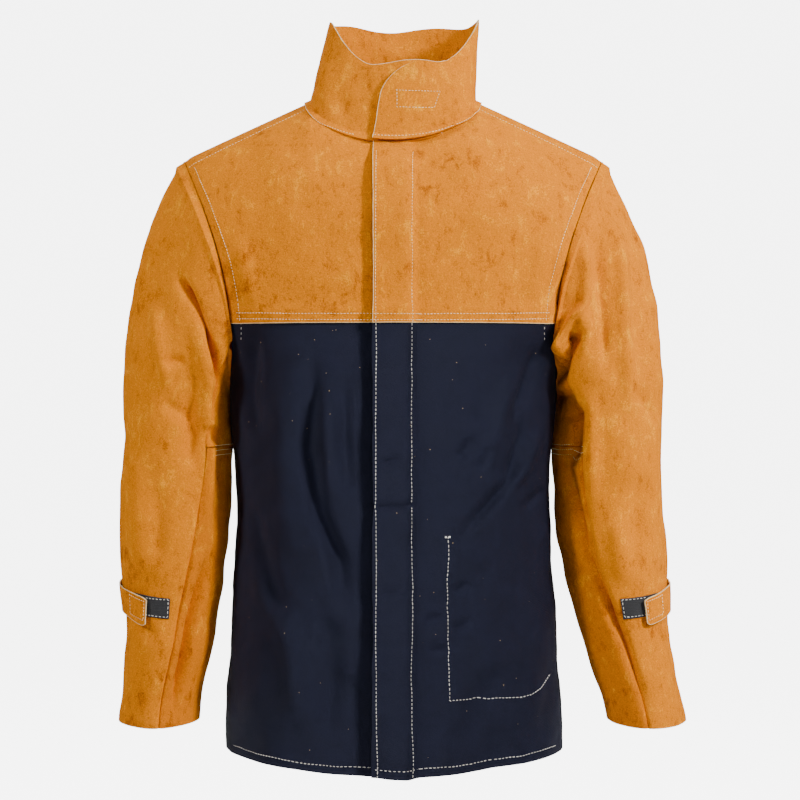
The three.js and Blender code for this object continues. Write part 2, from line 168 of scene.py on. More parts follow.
def split_leather(name, deep, body, brushed):
    leather = Finish(name)
    where = leather.place()
    clouds = leather.noise(where, 9, 3, 0.55, 0.6)
    patches = leather.noise(where, 42, 4, 0.62, 0.9)
    strokes = leather.noise(leather.place((1, 1, 0.45)), 130, 3, 0.6, 0.5)
    nap = leather.noise(where, 620, 3, 0.7)
    fibre = leather.noise(where, 1500, 2, 0.6)
    tone = clouds * 0.16 + patches * 0.34 + strokes * 0.28 + nap * 0.22
    colour = leather.ramp(tone, [(0.37, deep), (0.47, body), (0.53, body), (0.64, brushed)])
    scuffs = (leather.noise(leather.place((1.6, 1, 0.7)), 23, 5, 0.68, 1.4) > 0.655) * 0.22
    colour = leather.blend(scuffs, colour, (*brushed, 1))
    shade = leather.node("ShaderNodeMapRange", None, {
        "Value": nap * 0.6 + fibre * 0.4, "From Min": 0.35, "From Max": 0.65,
        "To Min": 0.74, "To Max": 1.2})
    colour = leather.node("ShaderNodeVectorMath", {"operation": "SCALE"}, {0: colour, "Scale": shade})
    relief = leather.bump(nap * 0.7 + fibre * 0.3, 0.0012, 0.8)
    coarse = leather.node("ShaderNodeBump", None, {
        "Height": strokes + patches * 0.6, "Distance": 0.002, "Strength": 0.45, "Normal": relief})
    return leather.finish(colour, 0.82 + 0.14 * patches, coarse, Sheen_Weight=0.07,
                          Sheen_Roughness=0.45, Sheen_Tint=(1.0, 0.6, 0.15, 1), Specular_IOR_Level=0.04)


def cut_edge_of_hide():
    edge = Finish("cut_edge_of_hide")
    grain = edge.noise(edge.place(), 900, 3, 0.6)
    colour = edge.ramp(grain, [(0.3, (0.46, 0.27, 0.09)), (0.6, (0.8, 0.6, 0.3))])
    return edge.finish(colour, 0.9, edge.bump(grain, 0.0003))


gold_leather = split_leather(
    "gold_split_leather", (0.33, 0.075, 0.0), (0.63, 0.182, 0.0), (0.84, 0.33, 0.004))
# The under sleeves get a darker copy of the gold leather. Its darkening is painted shade, standing in for
# the shadow under the arms.
under_leather_painted_shade = split_leather(
    "under_sleeve_leather", (0.3, 0.065, 0.0), (0.56, 0.15, 0.0), (0.76, 0.28, 0.004))
hide_edge = cut_edge_of_hide()

# ---------------------------------------------------------------------------------------------
# Cotton: flame-resistant navy twill. The diagonal ribs are a millimetre apart, and a few gold
# and white fibres of leather dust and lint cling to it.


def navy_twill(name, dark, light, lint):
    cotton = Finish(name)
    where = cotton.place()
    slant = cotton.node("ShaderNodeMapping", {"vector_type": "POINT"}, {
        "Vector": where, "Rotation": (0, math.radians(38), 0)})
    ribs = cotton.node("ShaderNodeTexWave", {"wave_type": "BANDS", "bands_direction": "X"}, {
        "Vector": slant, "Scale": 280, "Distortion": 1.4, "Detail": 2, "Detail Scale": 1.2})
    yarn = cotton.noise(cotton.place((1.7, 1, 0.6)), 1100, 2, 0.6)
    fade = cotton.noise(where, 24, 4, 0.62, 0.4)
    tone = ribs * 0.26 + yarn * 0.4 + fade * 0.34
    colour = cotton.ramp(tone, [(0.36, dark), (0.64, light)])
    specks = cotton.node("ShaderNodeTexVoronoi", {"feature": "F1"}, {"Vector": where, "Scale": 110})
    few = cotton.noise(where, 160, 0) > 0.63
    dust = (0.05 - specks > 0) * few * lint
    colour = cotton.blend(dust, colour, (0.42, 0.3, 0.14, 1))
    relief = cotton.bump(ribs * 0.55 + yarn * 0.45, 0.0009, 0.8)
    return cotton.finish(colour, 0.5 + 0.18 * fade, relief, Sheen_Weight=0.03, Sheen_Roughness=0.4,
                         Sheen_Tint=(0.62, 0.68, 1.0, 1), Specular_IOR_Level=0.22,
                         Specular_Tint=(0.55, 0.6, 1.0, 1))


navy_cotton = navy_twill("navy_twill", (0.0006, 0.0007, 0.002), (0.006, 0.0065, 0.0158), 1.0)
facing_cotton = navy_twill("facing_twill", (0.002, 0.0022, 0.005), (0.006, 0.007, 0.015), 0.0)

# ---------------------------------------------------------------------------------------------
# Shape of the filled-out body. Every panel is cut from this one skin, so that the edges of
# neighbouring panels meet. The sizes are in millimetres, and the outer ones are the frame's.


def corner(node, end, axis):
    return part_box(node)[end][axis] / MM


LEATHER = 1.6
COTTON = 1.2
NECK_HALF_WIDTH = 94
NECK_DROP_FRONT = 54
NECK_DROP_BACK = 14
RIDGE_TOP = -3
SHOULDER_HALF_WIDTH = 242
SHOULDER_DROP = 70
FRONT_DEPTH = 112
BACK_DEPTH = 98
SECTION_POWER = 2.5
SHOULDER_ROUND = 160
CHEST_SPREAD = 262
CHEST_SPREAD_END = -150
UNDERARM_Z = -335
UNDERARM_HALF_WIDTH = 188
WAIST_Z = -450
WAIST_HALF_WIDTH = 181
HEM_DIP = 12
HEM_Z = corner("right_front_panel", 0, 2) + HEM_DIP
HEM_HALF_WIDTH = corner("back_panel", 1, 0) - COTTON
YOKE_Z = round(corner("left_front_panel", 1, 2))
ARMHOLE_NARROW = 181
ARMHOLE_NARROW_Z = -268
ARMHOLE_POWER = 1.8
FLAP_EDGE_X = -22
FLAP_FOLD_X = 28.2
FLAP_LIFT = 8.2
FLAP_RAMP = 16
NECK_LIFT = 2.2
NECK_LIFT_REACH = 40
UNDERLAP_EDGE_X = 10
NECK_SHARE = 0.45


def smooth(t):
    t = np.clip(t, 0, 1)
    return t * t * (3 - 2 * t)


def mix(a, b, t):
    return a + (b - a) * t


def ridge(x):
    past = np.maximum(0, np.abs(x) - NECK_HALF_WIDTH)
    return RIDGE_TOP - past * (SHOULDER_DROP + RIDGE_TOP) / (SHOULDER_HALF_WIDTH - NECK_HALF_WIDTH)


def side_half_width(z):
    upper = mix(UNDERARM_HALF_WIDTH, WAIST_HALF_WIDTH, smooth((UNDERARM_Z - z) / (UNDERARM_Z - WAIST_Z)))
    lower = mix(WAIST_HALF_WIDTH, HEM_HALF_WIDTH, smooth((WAIST_Z - z) / (WAIST_Z - HEM_Z)))
    return np.where(z > WAIST_Z, upper, lower)


def section_half_width(z):
    t = (CHEST_SPREAD_END - z) / (CHEST_SPREAD_END - UNDERARM_Z)
    return np.where(z < UNDERARM_Z, side_half_width(z), mix(CHEST_SPREAD, UNDERARM_HALF_WIDTH, smooth(t)))


def body_depth(x, z, full):
    across = np.abs(x) / section_half_width(z)
    section = np.maximum(0, 1 - across ** SECTION_POWER) ** (1 / SECTION_POWER)
    below = np.clip((ridge(x) - z) / SHOULDER_ROUND, 0, 1)
    return full * section * np.sqrt(2 * below - below * below)


def armhole_x(z):
    t = (ARMHOLE_NARROW_Z - z) / (ARMHOLE_NARROW_Z - UNDERARM_Z)
    lower = mix(ARMHOLE_NARROW, UNDERARM_HALF_WIDTH, smooth(t))
    up = np.clip((-SHOULDER_DROP - z) / (-SHOULDER_DROP - ARMHOLE_NARROW_Z), 0, 1)
    upper = ARMHOLE_NARROW + (SHOULDER_HALF_WIDTH - ARMHOLE_NARROW) * (1 - up) ** ARMHOLE_POWER
    return np.where(z < UNDERARM_Z, side_half_width(z), np.where(z < ARMHOLE_NARROW_Z, lower, upper))


def hem_z(x):
    return HEM_Z - HEM_DIP * np.cos(math.pi / 2 * np.clip(np.abs(x) / HEM_HALF_WIDTH, 0, 1)) ** 2


def skin(x, z, face):
    depth = body_depth(x, z, FRONT_DEPTH if face < 0 else BACK_DEPTH)
    return np.stack([x, face * depth, z], axis=-1)


def fold(x, z, route, width, height, tail=0.3):
    """A soft ridge along a route of (x, z) points, or a valley where height is negative."""
    nearest = np.full(np.shape(x), 1e9)
    share = np.zeros(np.shape(x))
    ends = np.array(route, float)
    lengths = np.hypot(*(ends[1:] - ends[:-1]).T)
    total = lengths.sum()
    passed = 0.0
    for a, b, length in zip(ends[:-1], ends[1:], lengths):
        t = np.clip(((x - a[0]) * (b[0] - a[0]) + (z - a[1]) * (b[1] - a[1])) / length ** 2, 0, 1)
        away = np.hypot(x - a[0] - t * (b[0] - a[0]), z - a[1] - t * (b[1] - a[1]))
        closer = away < nearest
        nearest = np.where(closer, away, nearest)
        share = np.where(closer, (passed + t * length) / total, share)
        passed += length
    return height * np.exp(-(nearest / width) ** 2) * smooth(np.minimum(share, 1 - share) / tail)


def swell(points, pitch, seed):
    """Slow irregular rise and fall over a surface, from -1 to 1, with lumps about pitch apart."""
    flat = points.reshape(-1, 3) / pitch
    values = [noise.noise(Vector((p[0] + seed, p[1], p[2]))) for p in flat]
    return np.array(values).reshape(points.shape[:-1])


def grid_normals(points, core):
    across = np.gradient(points, axis=1)
    down = np.gradient(points, axis=0)
    normal = np.cross(across, down)
    normal /= np.maximum(np.linalg.norm(normal, axis=-1, keepdims=True), 1e-9)
    facing = np.sum(normal * (points - core), axis=-1, keepdims=True)
    return np.where(np.sum(facing) < 0, -normal, normal)


def body_core(points):
    core = np.zeros_like(points)
    core[..., 2] = points[..., 2] - 300
    return core


def square(count_u, count_v):
    return np.meshgrid(np.linspace(0, 1, count_u + 1), np.linspace(0, 1, count_v + 1))


CUT_EDGE_WIDTH = 0.7


def narrow_edge(grid, edge):
    """Draws the line of points beside a raw edge close to it, so that the edge shows as a fine line."""
    lines = {"top": grid, "bottom": grid[::-1], "left": grid.swapaxes(0, 1),
             "right": grid.swapaxes(0, 1)[::-1]}[edge]
    step = lines[1] - lines[0]
    length = np.maximum(np.linalg.norm(step, axis=-1, keepdims=True), 1e-6)
    lines[1] = lines[0] + step * np.minimum(1, CUT_EDGE_WIDTH / length)


def cloth_mesh(name, outer, inner, finishes, raw=()):
    """A closed sheet between two grids of points. finishes are for its face, its cut edge and its back.

    raw names the edges where the cut shows on the face, and the other edges are finished as the face.
    """
    for edge in raw:
        narrow_edge(outer, edge)
        narrow_edge(inner, edge)
    rows, row = outer.shape[0], outer.shape[1]
    back = rows * row
    points = np.concatenate([outer.reshape(-1, 3), inner.reshape(-1, 3)]) * MM
    j, i = np.mgrid[0:rows - 1, 0:row - 1]
    a = (j * row + i).ravel()
    front_faces = np.stack([a, a + 1, a + row + 1, a + row], axis=1)
    back_faces = np.stack([a, a + row, a + row + 1, a + 1], axis=1) + back
    top = np.arange(row - 1)
    bottom = top + (rows - 1) * row
    left = np.arange(rows - 1) * row
    right = left + row - 1
    rims = [np.stack([top, top + back, top + back + 1, top + 1], axis=1),
            np.stack([bottom, bottom + 1, bottom + back + 1, bottom + back], axis=1),
            np.stack([left, left + row, left + back + row, left + back], axis=1),
            np.stack([right, right + back, right + back + row, right + row], axis=1)]
    faces = np.concatenate([front_faces, back_faces, *rims])
    mesh = bpy.data.meshes.new(name)
    mesh.from_pydata(points.tolist(), [], faces.tolist())
    for finish in finishes:
        mesh.materials.append(finish)
    index = np.zeros(len(faces), int)
    index[len(a):2 * len(a)] = 2
    spans = np.cumsum([2 * len(a), len(top), len(bottom), len(left), len(right)])
    on_face = index[:len(a)].reshape(rows - 1, row - 1)
    ends = {"top": (0, on_face[0]), "bottom": (1, on_face[-1]),
            "left": (2, on_face[:, 0]), "right": (3, on_face[:, -1])}
    for edge in raw:
        which, beside = ends[edge]
        beside[:] = 1
        index[spans[which]:spans[which + 1]] = 1
    mesh.polygons.foreach_set("material_index", index.astype(np.int32))
    middle = points[a[len(a) // 2]]
    turn = np.cross(points[a[len(a) // 2] + 1] - middle, points[a[len(a) // 2] + row] - middle)
    if np.dot(turn, (outer - inner).reshape(-1, 3)[a[len(a) // 2]]) < 0:
        mesh.flip_normals()
    mesh.polygons.foreach_set("use_smooth", np.ones(len(faces), bool))
    mesh.set_sharp_from_angle(angle=math.radians(40))
    mesh.update()
    piece = bpy.data.objects.new(name, mesh)
    bpy.context.collection.objects.link(piece)
    return piece


def cloth(name, points, core, thickness, finishes, lift=0.0, drape=None, turned_in=0.0, raw=()):
    """A sheet over a grid of points, raised by lift and shaped by drape, both along its normal."""
    normal = grid_normals(points, core)
    if drape is not None:
        points = points + normal * drape[..., None]
        normal = grid_normals(points, core)
    raised = np.broadcast_to(lift, points.shape[:-1])[..., None]
    outer = points + normal * (raised + thickness)
    inner = points + normal * (raised - np.broadcast_to(turned_in, points.shape[:-1])[..., None])
    return cloth_mesh(name, outer, inner, finishes, raw)


LEATHER_FINISHES = (gold_leather, hide_edge, gold_leather)
COTTON_FINISHES = (navy_cotton, navy_cotton, navy_cotton)


def cut_area(points):
    """Area in square metres of a pattern as it was cut, before any fold is put into it."""
    across = points[:-1, 1:] - points[:-1, :-1]
    down = points[1:, :-1] - points[:-1, :-1]
    return float(np.linalg.norm(np.cross(across, down), axis=-1).sum() * MM * MM)


def declare(node, pattern):
    """Hides the CAD part named node and works out the cut area of the pattern, which is not kept."""
    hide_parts(node)
    cut_area(pattern)


# ---------------------------------------------------------------------------------------------
# Folds of the body. Leather lies in a few soft swells. The cotton hangs in long shallow folds
# from the yoke and the underarms, and the weight of the pocket drags small creases into it.
FRONT_FOLDS = [
    ([(-92, -285), (-88, -337), (-95, -399), (-82, -472), (-60, -520), (-52, -600)], 9, -4.2),
    ([(-72, -300), (-72, -380), (-68, -470)], 10, 2.4),
    ([(-52, -310), (-54, -380), (-47, -463)], 7, -2.2),
    ([(-152, -255), (-158, -345), (-150, -400)], 9, -3.0),
    ([(-163, -450), (-146, -522), (-120, -600)], 10, -2.6),
    ([(-120, -300), (-124, -400), (-118, -520)], 16, 2.2),
    ([(-135, -560), (-110, -640), (-105, -720)], 14, 2.4),
    ([(-75, -560), (-68, -660), (-75, -742)], 14, -2.4),
    ([(168, -275), (141, -345), (128, -380)], 8, -3.4),
    ([(150, -350), (130, -438), (92, -478), (66, -500)], 7, -3.6),
    ([(138, -300), (118, -380), (96, -440)], 11, 2.6),
    ([(163, -380), (150, -420), (122, -455)], 6, 2.6),
    ([(110, -395), (96, -425)], 5, -1.8),
    ([(88, -385), (74, -412)], 5, -1.6),
    ([(172, -445), (146, -470)], 5, -1.8),
    ([(36, -590), (58, -583)], 4, -1.6),
    ([(40, -625), (62, -619)], 4, -1.4),
    ([(66, -560), (84, -548)], 5, -1.5),
    ([(66, -600), (88, -590)], 5, -1.3),
    ([(120, -640), (90, -700), (60, -735)], 14, -1.5),
    ([(168, -560), (160, -650), (150, -730)], 15, 2.4),
    ([(-165, 30), (-130, -90), (-110, -180)], 18, 1.2),
    ([(150, -60), (95, -105), (60, -130)], 9, -2.4),
    ([(165, -75), (110, -125), (70, -160)], 12, 1.8),
    ([(150, -240), (165, -190), (172, -160)], 9, 1.8),
    ([(-150, -248), (-165, -200), (-172, -160)], 9, 1.6),
    ([(60, -100), (100, -60)], 10, 1.4),
]
FLAP_FOLDS = [
    ([(-24, -462), (4, -461), (28, -460)], 3.2, -2.6),
    ([(-18, -415), (2, -409), (16, -411)], 4, -1.4),
    ([(-20, -560), (8, -556), (26, -552)], 5, -1.0),
]
BACK_FOLDS = [
    ([(-140, -290), (-110, -400), (-90, -560), (-84, -700)], 16, -3.6),
    ([(-60, -300), (-52, -430), (-44, -640)], 14, 2.6),
    ([(0, -330), (6, -480), (0, -700)], 15, -3.0),
    ([(70, -300), (64, -450), (60, -660)], 14, 2.6),
    ([(140, -290), (112, -400), (96, -560), (90, -710)], 16, -3.6),
    ([(-100, -420), (0, -440), (100, -424)], 12, -2.6),
    ([(-160, -180), (-120, -120), (-80, -60)], 14, 1.8),
    ([(160, -180), (120, -120), (80, -60)], 14, 1.8),
    ([(-60, -60), (0, -74), (60, -60)], 12, -2.0),
]


FOLD_DEPTH = 1.7


def body_drape(points, face, cotton):
    x, z = points[..., 0], points[..., 2]
    rise = np.zeros(x.shape)
    for route, width, height in (FRONT_FOLDS if face < 0 else BACK_FOLDS):
        rise += FOLD_DEPTH * fold(x, z, route, width, height)
    if face < 0 and cotton:
        for route, width, height in FLAP_FOLDS:
            rise += fold(x, z, route, width, height) * (x < FLAP_FOLD_X)
    rise += 2.6 * swell(points, 95, 3.1) + 1.5 * swell(points, 38, 7.7)
    rise += (0.7 if cotton else 0.3) * swell(points, 17, 1.9)
    calm = smooth((z - YOKE_Z + 6) / -30) if cotton else smooth((z - YOKE_Z - 4) / 24)
    near_neck = smooth((ridge(x) - z) / 60)
    return rise * (0.35 + 0.65 * calm) * near_neck


def hem_sway(points):
    """The free lower edge waves in and out more than the rest."""
    x, z = points[..., 0], points[..., 2]
    lower = smooth((-640 - z) / 120)
    return lower * (1.6 * np.sin(x / 23) + 1.1 * np.sin(x / 11 + 1.3))


# ---------------------------------------------------------------------------------------------
# Yokes: leather over the chest, the shoulders and the upper back. Each is lapped over the
# cotton below it, and its raw lower edge shows under the two rows of stitches.


def yoke_grid(u, v, side, start_x, neck_drop, face):
    angle = mix(math.asin(start_x / NECK_HALF_WIDTH), math.pi / 2, np.minimum(1, u / NECK_SHARE))
    past = mix(NECK_HALF_WIDTH, SHOULDER_HALF_WIDTH, (u - NECK_SHARE) / (1 - NECK_SHARE))
    on_neck = u <= NECK_SHARE
    top_x = np.where(on_neck, NECK_HALF_WIDTH * np.sin(angle), past)
    top_z = np.where(on_neck, RIDGE_TOP - neck_drop * np.cos(angle), ridge(past))
    arm_z = mix(-SHOULDER_DROP, YOKE_Z, v)
    squeeze = (armhole_x(arm_z) - start_x) / (SHOULDER_HALF_WIDTH - start_x)
    return skin(side * (start_x + (top_x - start_x) * squeeze), mix(top_z, YOKE_Z, v), face)


def flap_lift(points):
    x, z = points[..., 0], points[..., 2]
    full = mix(NECK_LIFT, FLAP_LIFT, smooth((RIDGE_TOP - NECK_DROP_FRONT - z) / NECK_LIFT_REACH))
    return full * smooth((FLAP_FOLD_X + 2 - x) / FLAP_RAMP)


def seam_dip(distance, depth=2.2, reach=3.0):
    """How far cloth rolls under towards a seam at the given distance."""
    return -depth * np.exp(-(distance / reach) ** 2)


def spread(u):
    """Grid lines drawn closer together near both ends."""
    return mix(u, 0.5 - 0.5 * np.cos(math.pi * u), 0.45)


LAP_OVER = 1.4
u, v = square(96, 84)
v = v ** 1.25
right_yoke_points = yoke_grid(u, v, -1, -UNDERLAP_EDGE_X, NECK_DROP_FRONT, -1)
left_yoke_points = yoke_grid(u, v, 1, FLAP_EDGE_X, NECK_DROP_FRONT, -1)
whole_u, whole_v = square(150, 84)
whole_v = whole_v ** 1.25
back_yoke_points = yoke_grid(np.abs(2 * whole_u - 1), whole_v, 1, 0, NECK_DROP_BACK, 1)
back_yoke_points[..., 0] *= np.where(whole_u < 0.5, -1, 1)


def yoke_shape(points, face, edge_share):
    rise = body_drape(points, face, cotton=False)
    return rise + seam_dip((1 - edge_share) * 150, 1.8)


def lap_over(points):
    return LAP_OVER * smooth((YOKE_Z + 26 - points[..., 2]) / 12)


right_yoke = cloth(
    "right_front_yoke_leather", right_yoke_points, body_core(right_yoke_points), LEATHER,
    LEATHER_FINISHES, lift=lap_over(right_yoke_points),
    drape=yoke_shape(right_yoke_points, -1, u), raw=("bottom",))
left_yoke = cloth(
    "left_front_yoke_leather", left_yoke_points, body_core(left_yoke_points), LEATHER,
    LEATHER_FINISHES, lift=lap_over(left_yoke_points) + flap_lift(left_yoke_points),
    drape=yoke_shape(left_yoke_points, -1, u), raw=("bottom", "left"))
back_yoke = cloth(
    "back_yoke_leather", back_yoke_points, body_core(back_yoke_points), LEATHER,
    LEATHER_FINISHES, lift=lap_over(back_yoke_points),
    drape=yoke_shape(back_yoke_points, 1, np.abs(2 * whole_u - 1)), raw=("bottom",))
for piece, node, pattern, width, hung_from in (
        (right_yoke, "right_front_yoke", right_yoke_points, 335, ["back_yoke_leather"]),
        (left_yoke, "left_front_yoke", left_yoke_points, 345, ["back_yoke_leather"]),
        (back_yoke, "back_yoke", back_yoke_points, 560, [])):
    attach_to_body(piece, "torso")
    declare(node, pattern)

# ---------------------------------------------------------------------------------------------
# Lower panels: cotton from the yokes to the hem, which is turned up inside and sewn once. The
# left front ends at the fold of the storm flap, and the right front runs on under it.
HEM_TURN = 14


def panel_grid(u, v, side, start_x, face, top_z):
    rough_z = mix(top_z, HEM_Z, v)
    width = section_half_width(rough_z)
    first = np.arcsin(np.sign(start_x) * (abs(start_x) / width) ** (SECTION_POWER / 2))
    last = np.arcsin(np.minimum(1, armhole_x(rough_z) / width) ** (SECTION_POWER / 2))
    angle = mix(first, last, u)
    x = width * np.sign(np.sin(angle)) * np.abs(np.sin(angle)) ** (2 / SECTION_POWER)
    full = FRONT_DEPTH if face < 0 else BACK_DEPTH
    depth = full * np.maximum(0, np.cos(angle)) ** (2 / SECTION_POWER)
    return np.stack([side * x, face * depth, mix(top_z, hem_z(x), v)], axis=-1)


def hem_turn(points):
    above = points[..., 2] - hem_z(points[..., 0])
    return 1.1 * smooth((HEM_TURN - above) / 1.5)


def panel_shape(points, face):
    return body_drape(points, face, cotton=True) + hem_sway(points)


PANEL_TOP = YOKE_Z + 15
u, v = square(74, 170)
right_panel_points = panel_grid(u, v, -1, -UNDERLAP_EDGE_X, -1, PANEL_TOP)
left_panel_points = panel_grid(u, v, 1, FLAP_FOLD_X - 1.5, -1, PANEL_TOP)
whole_u, whole_v = square(140, 170)
back_panel_points = panel_grid(np.abs(2 * whole_u - 1), whole_v, 1, 0, 1, PANEL_TOP)
back_panel_points[..., 0] *= np.where(whole_u < 0.5, -1, 1)
for name, node, points, face, width in (
        ("right_front_cotton", "right_front_panel", right_panel_points, -1, 265),
        ("left_front_cotton", "left_front_panel", left_panel_points, -1, 230),
        ("back_cotton", "back_panel", back_panel_points, 1, 490)):
    lift = flap_lift(points) if node == "left_front_panel" else 0.0
    piece = cloth(name, points, body_core(points), COTTON, COTTON_FINISHES, lift=lift,
                  drape=panel_shape(points, face), turned_in=hem_turn(points))
    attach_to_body(piece, "torso")
    declare(node, points)


def strip_grid(u, v, from_x, to_x, top_z):
    x = mix(from_x, to_x, u)
    top = top_z(x) if callable(top_z) else top_z
    return skin(x, mix(top, hem_z(x), v), -1)


u, v = square(26, 210)
flap_points = strip_grid(u, v, FLAP_EDGE_X, FLAP_FOLD_X, YOKE_Z + 13)
flap_drape = panel_shape(flap_points, -1)
edge_sway = 1.1 * np.sin(flap_points[..., 2] / 37) * smooth((-2 - flap_points[..., 0]) / 20)
flap = cloth("storm_flap_cotton", flap_points, body_core(flap_points), COTTON + 0.7, COTTON_FINISHES,
             lift=flap_lift(flap_points) - 0.7, drape=flap_drape + edge_sway * 0.6)


def lift_with_flap(piece):
    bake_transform(piece)


lift_with_flap(flap)
declare("storm_flap", flap_points)

# ---------------------------------------------------------------------------------------------
# Fly: the cotton facing sewn behind the flap, which carries the caps and sockets of the snaps.
FLY_EDGE_X = -15
FLY_ROOT_X = 34
FLY_LIFT = 4.2
FLY_RAMP = 15
FLY_TOP = 34


def neck_front_z(x):
    return RIDGE_TOP - NECK_DROP_FRONT * np.sqrt(1 - (x / NECK_HALF_WIDTH) ** 2)


def fly_lift(points):
    return mix(-1.6, FLY_LIFT, smooth((FLAP_FOLD_X - 1 - points[..., 0]) / FLY_RAMP))


u, v = square(24, 200)
fly_points = strip_grid(u, v, FLY_EDGE_X, FLY_ROOT_X, lambda x: neck_front_z(x) - FLY_TOP)
fly_finishes = (facing_cotton, facing_cotton, facing_cotton)
fly = cloth("fly_facing_cotton", fly_points, body_core(fly_points), COTTON, fly_finishes,
            lift=fly_lift(fly_points), drape=body_drape(fly_points, -1, cotton=False))
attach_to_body(fly, "torso")
declare("fly_facing", fly_points)

# ---------------------------------------------------------------------------------------------
# Sleeves: a wide top piece and a narrow under piece, which is joined across above the elbow.
# They are set into the armholes with the seam standing out, and hang with the weight of leather.
BICEP_Z = -400
CUFF_Z = corner("right_top_sleeve", 0, 2)
CUFF_OUT = {-1: 270, 1: 294}
CUFF_HALF_WIDTH = 41
CUFF_HALF_DEPTH = 56
BICEP_OUT = 251
BICEP_HALF_WIDTH = 61.5
BICEP_HALF_DEPTH = 74
UNDERARM_EASE = 3.6
CUFF_FORWARD = 24
CROSS_SEAM = 0.42
CAP_SHARE = 0.42
SIDES = (("right", -1), ("left", 1))
ARM_LENGTH = 700
RIGHT_SLEEVE_FOLDS = [
    ([(-244, -196), (-222, -240), (-209, -276), (-202, -305), (-192, -335)], 5, -11),
    ([(-232, -238), (-218, -292), (-211, -330), (-213, -368), (-213, -430), (-216, -528)], 6, 5.5),
    ([(-232, -330), (-226, -385), (-230, -430)], 10, -4),
    ([(-209, -372), (-207, -400)], 6, -3.5),
    ([(-270, -229), (-262, -280), (-251, -343)], 8, 3),
    ([(-258, -304), (-230, -300)], 5, -2.4),
    ([(-262, -345), (-222, -375)], 7, -2.6),
    ([(-206, -505), (-214, -540), (-232, -609), (-252, -712)], 5, -6.5),
    ([(-296, -380), (-286, -480), (-292, -560)], 12, 2.4),
    ([(-262, -440), (-268, -540)], 11, -2.6),
    ([(-300, -600), (-262, -612)], 8, -1.8),
    ([(-262, -130), (-282, -190), (-292, -260)], 12, 2.2),
]
LEFT_SLEEVE_FOLDS = [
    ([(242, -113), (257, -200), (262, -300), (264, -372)], 7, 4.4),
    ([(226, -150), (236, -240), (240, -330)], 7, -3.4),
    ([(208, -145), (214, -200), (216, -262), (212, -312)], 6, 4.2),
    ([(222, -236), (206, -252), (194, -272), (184, -300)], 5, 7),
    ([(216, -262), (204, -282), (194, -305), (190, -330)], 5, -11),
    ([(192, -330), (199, -350), (209, -376)], 8, -6),
    ([(214, -345), (209, -385), (204, -428)], 7, -5.5),
    ([(222, -330), (226, -400), (224, -470)], 8, 3.6),
    ([(270, -330), (300, -372)], 8, -2.2),
    ([(288, -200), (296, -290), (302, -360)], 11, 2.6),
    ([(280, -420), (274, -520)], 12, -2.6),
    ([(192, -361), (197, -406), (222, -528), (262, -620), (292, -712)], 5, -5),
    ([(250, -470), (262, -560)], 10, 2.6),
    ([(318, -600), (284, -612)], 8, -1.8),
]


def along(z, stops, values):
    """A smooth curve through values at evenly spaced stops."""
    last = len(stops) - 1
    place = (z - stops[0]) / (stops[1] - stops[0])
    k = np.clip(np.floor(place), 0, last - 1).astype(int)
    t = np.clip(place - k, 0, 1)
    v = np.array(values, float)
    a, b = v[k], v[k + 1]
    slope_a = (b - v[np.maximum(0, k - 1)]) / 2
    slope_b = (v[np.minimum(last, k + 2)] - a) / 2
    cubic = slope_a + slope_b - 2 * (b - a)
    return a + slope_a * t + (3 * (b - a) - 2 * slope_a - slope_b) * t ** 2 + cubic * t ** 3


def sleeve_ring(side, angle, z):
    stops = [mix(BICEP_Z, CUFF_Z, k / 3) for k in range(4)]
    out = CUFF_OUT[side]
    centre = along(z, stops, [BICEP_OUT, BICEP_OUT + 3, mix(BICEP_OUT, out, 0.4), out])
    wide = along(z, stops, [BICEP_HALF_WIDTH, 61, 50, CUFF_HALF_WIDTH])
    deep = along(z, stops, [BICEP_HALF_DEPTH, 73, 65, CUFF_HALF_DEPTH])
    forward = along(z, stops, [2, 6, 14, CUFF_FORWARD])
    x = side * (centre + wide * np.cos(angle))
    return np.stack([x, -forward - deep * np.sin(angle), z], axis=-1)


def armhole_point(side, angle):
    t = (1 - np.cos(angle)) / 2
    z = mix(-SHOULDER_DROP, UNDERARM_Z, t)
    x = armhole_x(z)
    front = np.sin(angle) >= 0
    y = np.where(front, -body_depth(x, z, FRONT_DEPTH), body_depth(x, z, BACK_DEPTH))
    return np.stack([side * (x + mix(1.2, UNDERARM_EASE, t)), y, z - 0.5], axis=-1)


def sleeve_point(side, degrees, t):
    """t is 0 at the armhole, CAP_SHARE at the biceps and 1 at the cuff. Zero degrees is outside."""
    angle = np.radians(degrees)
    below = sleeve_ring(side, angle, mix(BICEP_Z, CUFF_Z, np.maximum(0, (t - CAP_SHARE) / (1 - CAP_SHARE))))
    start = armhole_point(side, angle)
    end = sleeve_ring(side, angle, np.full(np.shape(angle), float(BICEP_Z)))
    reach = np.linalg.norm(end - start, axis=-1, keepdims=True)
    lean = 0.33 * (1 + np.cos(angle))
    leave = np.stack([side * lean, 0 * lean, -1 + 0 * lean], axis=-1)
    leave = leave / np.linalg.norm(leave, axis=-1, keepdims=True) * reach
    arrive = reach * np.array([0, 0, -1.0])
    a = np.minimum(1, t / CAP_SHARE)[..., None]
    cap = (start * (2 * a ** 3 - 3 * a ** 2 + 1) + leave * (a ** 3 - 2 * a ** 2 + a)
           + end * (3 * a ** 2 - 2 * a ** 3) + arrive * (a ** 3 - a ** 2))
    return np.where((t >= CAP_SHARE)[..., None], below, cap)


def sleeve_core(side, t):
    outside = sleeve_point(side, np.zeros(t.shape), t)
    return (outside + sleeve_point(side, np.full(t.shape, 180.0), t)) / 2


def seam_angle(t):
    return mix(126, 98, smooth((t - 0.4) / 0.6))


SLEEVE_FOLD_DEPTH = 2.0


